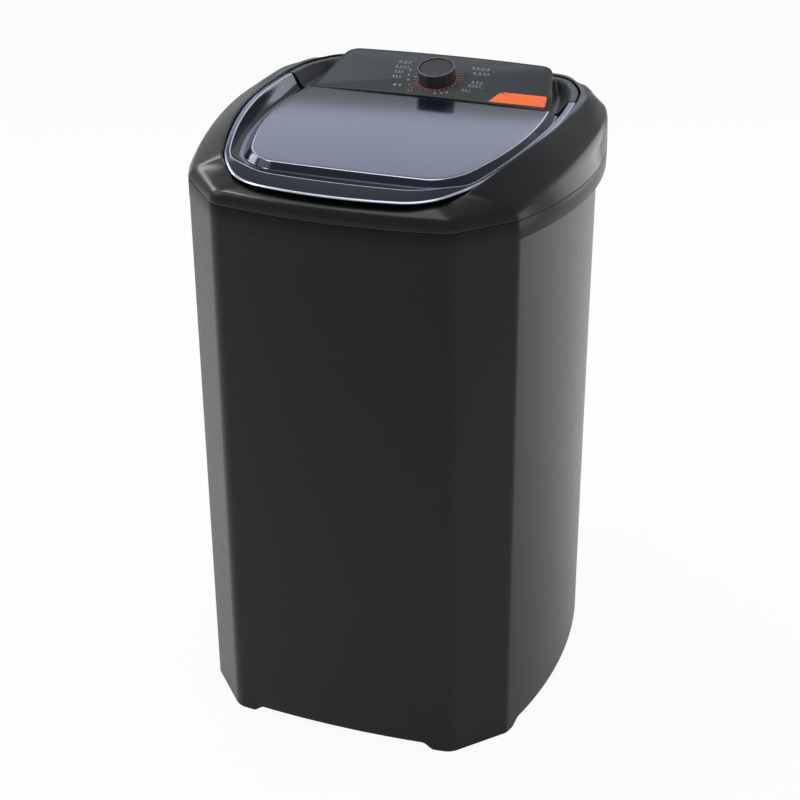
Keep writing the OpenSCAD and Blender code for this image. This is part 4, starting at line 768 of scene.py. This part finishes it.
# Wing beside and behind the console: a strip level with the lid's flange, and a valley to the console
WING_Y = TAIL_Y + 3.5
STRIP_Z = FLANGE_Z
STRIP_IN = 1 + LID_GAP + FLANGE_W    # from the rim's outline
REAR_X = FRONT_X - 26        # rear corners of the wing's outlines
VALLEY_Z = SEAM + 37


def console_edge(y):
    """Half width of the console at the place y."""
    return CONSOLE_F + (CONSOLE_R - CONSOLE_F) * (y - CONSOLE_Y) / CONSOLE_D


def line_behind(corners, side_bow, rear_bow, radii, y):
    """Part of an outline behind the place y, from the right side round the back to the left."""
    side, back_corner = corners[1], corners[2]
    start = (y - side[1]) / (back_corner[1] - side[1])
    end = 1 - radii[2] / np.linalg.norm(back_corner - side)
    half = [arc_at(side, back_corner, side_bow, t) for t in np.linspace(start, end, 15)[:-1]]
    half += half_plan(corners, (0, side_bow, rear_bow), radii)[TAIL_FIRST:]
    return np.array(half + [v2(-x, y) for x, y in half[-2::-1]])


def wing_line(d):
    """The rim's outline d mm further in, behind the lid's tails."""
    return line_behind(inset(RIM, d), RIM_BOW, 0, RIM_R, WING_Y)


def console_line(gap, end_gap, end_y, tail_gap, tail_in, rear_in, radii, y):
    """Outline beside and behind the console, behind the place y.

    Its side runs gap to end_gap outside the console's, on to end_y behind the rim's corner. From there it
    turns in to tail_gap outside the console's rear corner, tail_in before it, and to rear_in at the rear."""
    corners = [RIM[0], v2(console_edge(RIM_SIDE[1]) + gap, RIM_SIDE[1]),
               v2(console_edge(RIM_BACK[1]) + end_gap, RIM_BACK[1] + end_y),
               v2(CONSOLE_R + tail_gap, CONSOLE_BACK - tail_in), v2(REAR_X, CONSOLE_BACK - rear_in)]
    return line_behind(corners, 0, REAR_BOW, radii, y)


strip_line = line_behind([RIM[0], *inset(RIM, STRIP_IN)[1:3], v2(CONSOLE_R + 19, CONSOLE_BACK - 6),
                          v2(REAR_X, CONSOLE_BACK + 1.5)], RIM_BOW, REAR_BOW, [14, 12, 20, 24, 8], WING_Y)
valley_line = console_line(34, 13.5, 3, 3.5, 7, 0.3, [14, 12, 14, 8, 8], WING_Y - 5)
bond_line = console_line(-1.5, -1.5, 0, 0, 8, 0.9, [14, 12, 12, 10, 8], WING_Y - 6)
from_front = valley_line[:, 1] - CONSOLE_Y
valley_z = VALLEY_Z + 0.025 * np.maximum(0, from_front) + 0.03 * np.maximum(0, from_front - 84.5) ** 2
rows = section([lift(wing_line(5), DECK_Z), lift(wing_line(2.5), DECK_Z + 4), lift(wing_line(2.5), STRIP_Z),
                lift(strip_line, STRIP_Z), lift(valley_line, np.minimum(STRIP_Z, valley_z)),
                lift(bond_line, plane_z(bond_line[:, 1], PLATE_T) - 1.1), lift(bond_line, DECK_Z)],
               radii=[1, 1.6, 2.2, 12, 0.4], steps=[2, 6, 6, 10, 2])
n, m = len(rows[0]), len(rows)
wing_faces = quads(m, n, around=False, loop=True)
wing_faces += [tuple(i * n for i in range(m)), tuple(i * n + n - 1 for i in range(m))[::-1]]
wing = mesh_object("console_wing", np.concatenate(rows), wing_faces, "body", slot="console_plastic",
                   replaces=["console_housing"])
paint(wing, "console_plastic")


# Badge, a plain plate in a dark border
def rounded(points, radii, steps):
    """Closed outline with its corners rounded."""
    pts = [v2(*p) for p in points]
    out = []
    for before, p, after, r in zip(pts[-1:] + pts, pts, pts[1:] + pts, radii):
        a, b = before - p, after - p
        out += corner(p + a / np.linalg.norm(a) * r, p, p + b / np.linalg.norm(b) * r, steps)
    return np.array(out)


def shrink(pts, d):
    """Closed convex outline moved inwards by d."""
    a, b = pts - np.roll(pts, 1, axis=0), np.roll(pts, -1, axis=0) - pts
    a, b = (v / np.maximum(np.linalg.norm(v, axis=1), 1e-9)[:, None] for v in (a, b))
    n = np.column_stack([-(a + b)[:, 1], (a + b)[:, 0]])
    return pts + n / np.maximum(np.linalg.norm(n, axis=1), 1e-9)[:, None] * d


def on_console(obj):
    """Moves a piece that was drawn flat onto the console's sloped face."""
    obj.data.transform(tilt)
    return obj


BADGE = rounded([(98, 7), (187.5, 7), (183.5, 36), (113, 36), (108, 32)], [1.2, 3, 4, 5, 4], 6)
# Sections of plate and border, as distances in from the badge's outline and heights over the face
BADGE_EDGE = ((0.1, -0.3), (0, 0), (0, 0.55), (0.12, 0.8), (0.4, 0.95), (0.8, 1.0))
BORDER_EDGE = ((0.4, -0.2), (-1.0, -0.2), (-1.0, 0.2), (-0.75, 0.32), (0.4, 0.32))
badge = loft("badge", [lift(shrink(BADGE, d), z) for d, z in BADGE_EDGE], "body", caps=True,
             slot="badge_plastic", replaces=["badge_plate"], angle=60)
paint(on_console(badge), "badge_plastic")
border = loft("badge_border", [lift(shrink(BADGE, d), z) for d, z in BORDER_EDGE], "body", closed=True,
              slot="console_plastic", replaces=["badge_plate"])
paint(on_console(border), "knob_plastic")

# Knob: a skirt with twelve flats, a lip painted paler as a painted highlight on its chamfer, and the disc in
# its top
KNOB_FLATS = 12
KNOB_TURN = 31.7             # degrees at which the middle of a flat lies
KNOB_POINTS = 240
FLAT_END = 14                # degrees from a flat's middle at which its corner's rounding starts
LIP_Z = KNOB_H - 1.6         # height at which the lip sits on the skirt
# Sections, as distances in from the knob's outline and heights. Rows marked True are round
SKIRT = ((6, 0.3), (0.7, 0.3), (0.15, 0.5), (0, 0.9), (0.15, KNOB_H - 3.4), (0.3, LIP_Z),
         (0.9, KNOB_H - 1.7), (1.2, KNOB_H - 4), (6, KNOB_H - 4))
LIP_EDGE = ((0.32, LIP_Z, False), (0.4, KNOB_H - 0.7, False), (0.75, KNOB_H - 0.2, False),
            (1.2, KNOB_H, False), (2.0, KNOB_H, False), (3.1, KNOB_H - 0.3, True),
            (3.2, KNOB_H - 1.8, True), (1.2, KNOB_H - 1.8, False))
# Section of the disc, as radii and heights
DISC = ((20, KNOB_H - 3.4), (25.5, KNOB_H - 3.4), (25.6, KNOB_H - 1.7), (25.2, KNOB_H - 1.4),
        (24.4, KNOB_H - 1.35), (16, KNOB_H - 1.5), (8, KNOB_H - 1.6), (1, KNOB_H - 1.62))


def knob_ring(d, z, bore=False):
    """Ring of the knob, d mm inside its outline of flats, or round where it is a bore."""
    a = np.linspace(0, 2 * math.pi, KNOB_POINTS, endpoint=False)
    pitch = 360 / KNOB_FLATS
    off = np.degrees(a - math.radians(KNOB_TURN)) % pitch
    off = np.minimum(np.minimum(off, pitch - off), FLAT_END)
    flat = KNOB_R * math.cos(math.radians(pitch / 2)) / np.cos(np.radians(off))
    r = (KNOB_R if bore else flat) - d
    return lift(np.column_stack([KNOB_X + r * np.cos(a), KNOB_UP + r * np.sin(a)]), z)


knob = loft("dial_knob", [knob_ring(d, z) for d, z in SKIRT], "knob", closed=True, slot="knob_plastic",
            replaces=["knob"])
paint(on_console(knob), "knob_plastic")
# The lip is painted paler than the skirt, a painted highlight on its chamfer
knob_lip_painted_highlight = loft("dial_lip", [knob_ring(*row) for row in LIP_EDGE], "knob", closed=True,
                slot="knob_plastic", replaces=["knob"])
paint(on_console(knob_lip_painted_highlight), "knob_lip_painted_highlight")
knob_face = loft("dial_disc", [knob_ring(KNOB_R - r, z, True) for r, z in DISC], "knob", caps=True,
                 slot="knob_disc_plastic", replaces=["knob_disc"], angle=60)
paint(on_console(knob_face), "knob_disc_plastic")

# Print on the console: plain numbers, ticks round the knob and rules, placed on its flat face
SEGMENTS = {"a": (0, 1, 1, 1), "b": (1, 1, 1, 0.5), "c": (1, 0.5, 1, 0), "d": (0, 0, 1, 0),
            "e": (0, 0, 0, 0.5), "f": (0, 0.5, 0, 1), "g": (0, 0.5, 1, 0.5)}
DIGITS = {"0": "abcdef", "1": "bc", "2": "abged", "3": "abgcd", "4": "fgbc", "5": "afgcd", "6": "afgedc",
          "7": "abc", "8": "abcdefg", "9": "abcdfg"}
DIGIT_WIDTH, DIGIT_PITCH, DIGIT_STROKE = 0.5, 0.82, 0.15    # as shares of a digit's height
INK_LOW, INK_HIGH = -0.1, 0.08                              # heights over the face
RULE_DROP, RULE_WIDTH = 3, 0.7
LABEL_SIZE = 3.2
# Labels with a rule under them: text, left end, foot and length of the rule
LABELS = (("24 18 12", -77, 95, 19), ("16 12 8 4", -79, 79.5, 24), ("12 9 6", -76, 66, 17),
          ("8 6 4", -73, 51, 15), ("36 30 24 18", 45, 96, 28), ("24 18 12 6", 51, 82, 25),
          ("18 12 9", 55, 56, 21), ("12 9 6 3", 53, 46, 26), ("6 3 1", 48, 31, 15))
# Numbers without a rule: text, left end, foot and height
WHITE_NUMBERS = (("2 1", -36, 14.5, 3.0), ("12 8", -66, 26, 4.6), ("9", -52, 72, 4.2), ("6", -50, 58, 4.2),
                 ("3", -47, 44, 4.2), ("2", 8, 13, 4.4), ("4", 17, 15.5, 4.4), ("6", 25, 19, 4.4))
ORANGE_NUMBERS = (("8", -40, 31, 4.4), ("5", -33, 22, 4.4))
# Ticks round the knob: angles, inner and outer radius, width
WHITE_TICKS = (((150, 165, 180), 33, 38, 1.0), ((-40, -28, -16), 32.5, 36, 0.8))
ORANGE_TICKS = (((6, 18, 30), 33, 41, 1.1), ((42, -4), 33, 39, 1.1),
                ((-166, -152, -140, -128, -116, -102, -90, -78, -66, -54), 33, 37.5, 1.0))
SCALE_FROM, SCALE_TO, SCALE_R = -172, 46, 31.4
SCALE_STROKES = 60


def stroke(start, end, width):
    """Corners of a straight printed stroke with square ends."""
    p, q = v2(*start), v2(*end)
    d = (q - p) / np.linalg.norm(q - p) * width / 2
    n = v2(-d[1], d[0])
    return [p - d - n, q + d - n, q + d + n, p - d + n]


def number(text, x, y, size):
    """Strokes of a row of plain figures, from the left end x with its foot at y."""
    out = []
    for i, figure in enumerate(text):
        left = x + i * size * DIGIT_PITCH
        for key in DIGITS.get(figure, ""):
            x0, y0, x1, y1 = SEGMENTS[key]
            ends = [(left + u * size * DIGIT_WIDTH, y + v * size) for u, v in ((x0, y0), (x1, y1))]
            out.append(stroke(*ends, size * DIGIT_STROKE))
    return out


def round_knob(angle, r):
    """Place on the face at an angle in degrees and a distance from the knob's axis."""
    a = math.radians(angle)
    return KNOB_X + r * math.cos(a), KNOB_UP + r * math.sin(a)


def ticks(rows):
    """Strokes that point at the knob's axis."""
    return [stroke(round_knob(a, r0), round_knob(a, r1), width)
            for angles, r0, r1, width in rows for a in angles]


def printed(name, strokes):
    """Thin piece of ink on the console's face, in the material of its own name."""
    verts, faces = [], []
    for outline in strokes:
        k = len(verts)
        verts += [(*p, h) for h in (INK_LOW, INK_HIGH) for p in outline]
        faces += [(k + 3, k + 2, k + 1, k), (k + 4, k + 5, k + 6, k + 7)] + quads(2, 4, first=k)
    obj = mesh_object(name, verts, faces, "body", slot="console_film", replaces=["console_plate"])
    paint(on_console(obj), name)


white = [s for text, x, y, rule in LABELS for s in number(text, x, y, LABEL_SIZE)]
white += [s for row in WHITE_NUMBERS for s in number(*row)] + ticks(WHITE_TICKS)
orange = [s for row in ORANGE_NUMBERS for s in number(*row)] + ticks(ORANGE_TICKS)
scale = [round_knob(a, SCALE_R) for a in np.linspace(SCALE_FROM, SCALE_TO, SCALE_STROKES + 1)]
orange += [stroke(p, q, RULE_WIDTH) for p, q in zip(scale, scale[1:])]
grey = [stroke((x, y - RULE_DROP), (x + rule, y - RULE_DROP), RULE_WIDTH) for text, x, y, rule in LABELS]
printed("print_white", white)
printed("print_orange", orange)
printed("print_grey", grey)

# Floor and world, with the shares of white that each kind of ray sees
FLOOR_SIZE = 14              # metres
FLOOR_COLOR = (0.86, 0.86, 0.86, 1)
FLOOR_WHITE = {"Is Camera Ray": 0.94, "Is Glossy Ray": 0.38, "Is Transmission Ray": 0.94}
WORLD_COLOR = (0.95, 0.97, 1.0, 1)
WORLD_STRENGTH = 0.42
WORLD_WHITE = {"Is Camera Ray": 1.0, "Is Transmission Ray": 1.0}


def plane(name, size):
    """Level square on the floor."""
    h = size / 2
    mesh = bpy.data.meshes.new(name)
    mesh.from_pydata([(-h, -h, 0), (h, -h, 0), (h, h, 0), (-h, h, 0)], [], [(0, 1, 2, 3)])
    obj = add_object(name, mesh)
    return obj


def seen_white(nt, out, lit, white, shares):
    """Mixes white into what each kind of ray sees, by its share. The rest is lit, or lights, as usual."""
    light_path = nt.nodes.new("ShaderNodeLightPath")
    value = None
    for ray, share in shares.items():
        scale = nt.nodes.new("ShaderNodeMath")
        scale.operation = "MULTIPLY"
        scale.inputs[1].default_value = share
        nt.links.new(light_path.outputs[ray], scale.inputs[0])
        if value is None:
            value = scale.outputs[0]
            continue
        either = nt.nodes.new("ShaderNodeMath")
        either.operation = "MAXIMUM"
        nt.links.new(value, either.inputs[0])
        nt.links.new(scale.outputs[0], either.inputs[1])
        value = either.outputs[0]
    mix = nt.nodes.new("ShaderNodeMixShader")
    nt.links.new(value, mix.inputs["Fac"])
    nt.links.new(lit, mix.inputs[1])
    nt.links.new(white, mix.inputs[2])
    nt.links.new(mix.outputs[0], out)


floor = plane("floor", FLOOR_SIZE)
floor_mat = bpy.data.materials.new("floor")
floor_mat.use_nodes = True
nt = floor_mat.node_tree
bsdf = nt.nodes["Principled BSDF"]
bsdf.inputs["Base Color"].default_value = FLOOR_COLOR
bsdf.inputs["Roughness"].default_value = 0.9
bsdf.inputs["Specular IOR Level"].default_value = 0.0
glow = nt.nodes.new("ShaderNodeEmission")
glow.inputs["Strength"].default_value = 1.0
seen_white(nt, nt.nodes["Material Output"].inputs["Surface"], bsdf.outputs[0], glow.outputs[0], FLOOR_WHITE)
floor.data.materials.append(floor_mat)

world = bpy.data.worlds.new("world")
scene.world = world
world.use_nodes = True
nt = world.node_tree
plain = nt.nodes["Background"]
plain.inputs["Color"].default_value = WORLD_COLOR
plain.inputs["Strength"].default_value = WORLD_STRENGTH
bright = nt.nodes.new("ShaderNodeBackground")
bright.inputs["Color"].default_value = (1, 1, 1, 1)
bright.inputs["Strength"].default_value = 1.0
seen_white(nt, nt.nodes["World Output"].inputs["Surface"], plain.outputs[0], bright.outputs[0], WORLD_WHITE)

# Lamps: name, place, target, width, length, power and colour, in metres and watts
NEUTRAL = (1, 1, 1)
COOL = (0.68, 0.77, 1.0)
LAMPS = (("overhead", (-0.1, -0.1, 3.4), (0, 0, 0), 2.4, 1.6, 26, NEUTRAL),
         ("key", (-3.0, -1.2, 2.8), (0, 0, 0.6), 2.2, 2.2, 22, NEUTRAL),
         ("above_back", (-0.98, 2.59, 2.08), (0, -0.1, 0.92), 2.4, 0.7, 7.8, COOL),
         ("above_left", (-1.57, -0.3, 2.95), (-0.17, -0.29, 0.9), 0.5, 0.4, 13, NEUTRAL),
         ("right_back", (1.9, 2.5, 1.1), (0, 0, 0.6), 1.8, 1.8, 24, NEUTRAL),
         ("right", (3.0, 0.5, 1.0), (0, 0, 0.8), 1.4, 1.4, 12, NEUTRAL),
         ("left", (-2.7, 0.75, 2.05), (0, 0, 0.9), 1.0, 0.8, 14, NEUTRAL))


def lamp(name, place, target, width, length, power, color):
    """Rectangular area lamp that faces its target."""
    data = bpy.data.lights.new(name, "AREA")
    data.color = color
    data.shape = "RECTANGLE"
    data.size, data.size_y = width, length
    data.energy = power
    obj = add_object(name, data)
    obj.location = place
    obj.rotation_euler = (Vector(target) - Vector(place)).to_track_quat("-Z", "Y").to_euler()


for row in LAMPS:
    lamp(*row)

scene.view_settings.view_transform = "Standard"
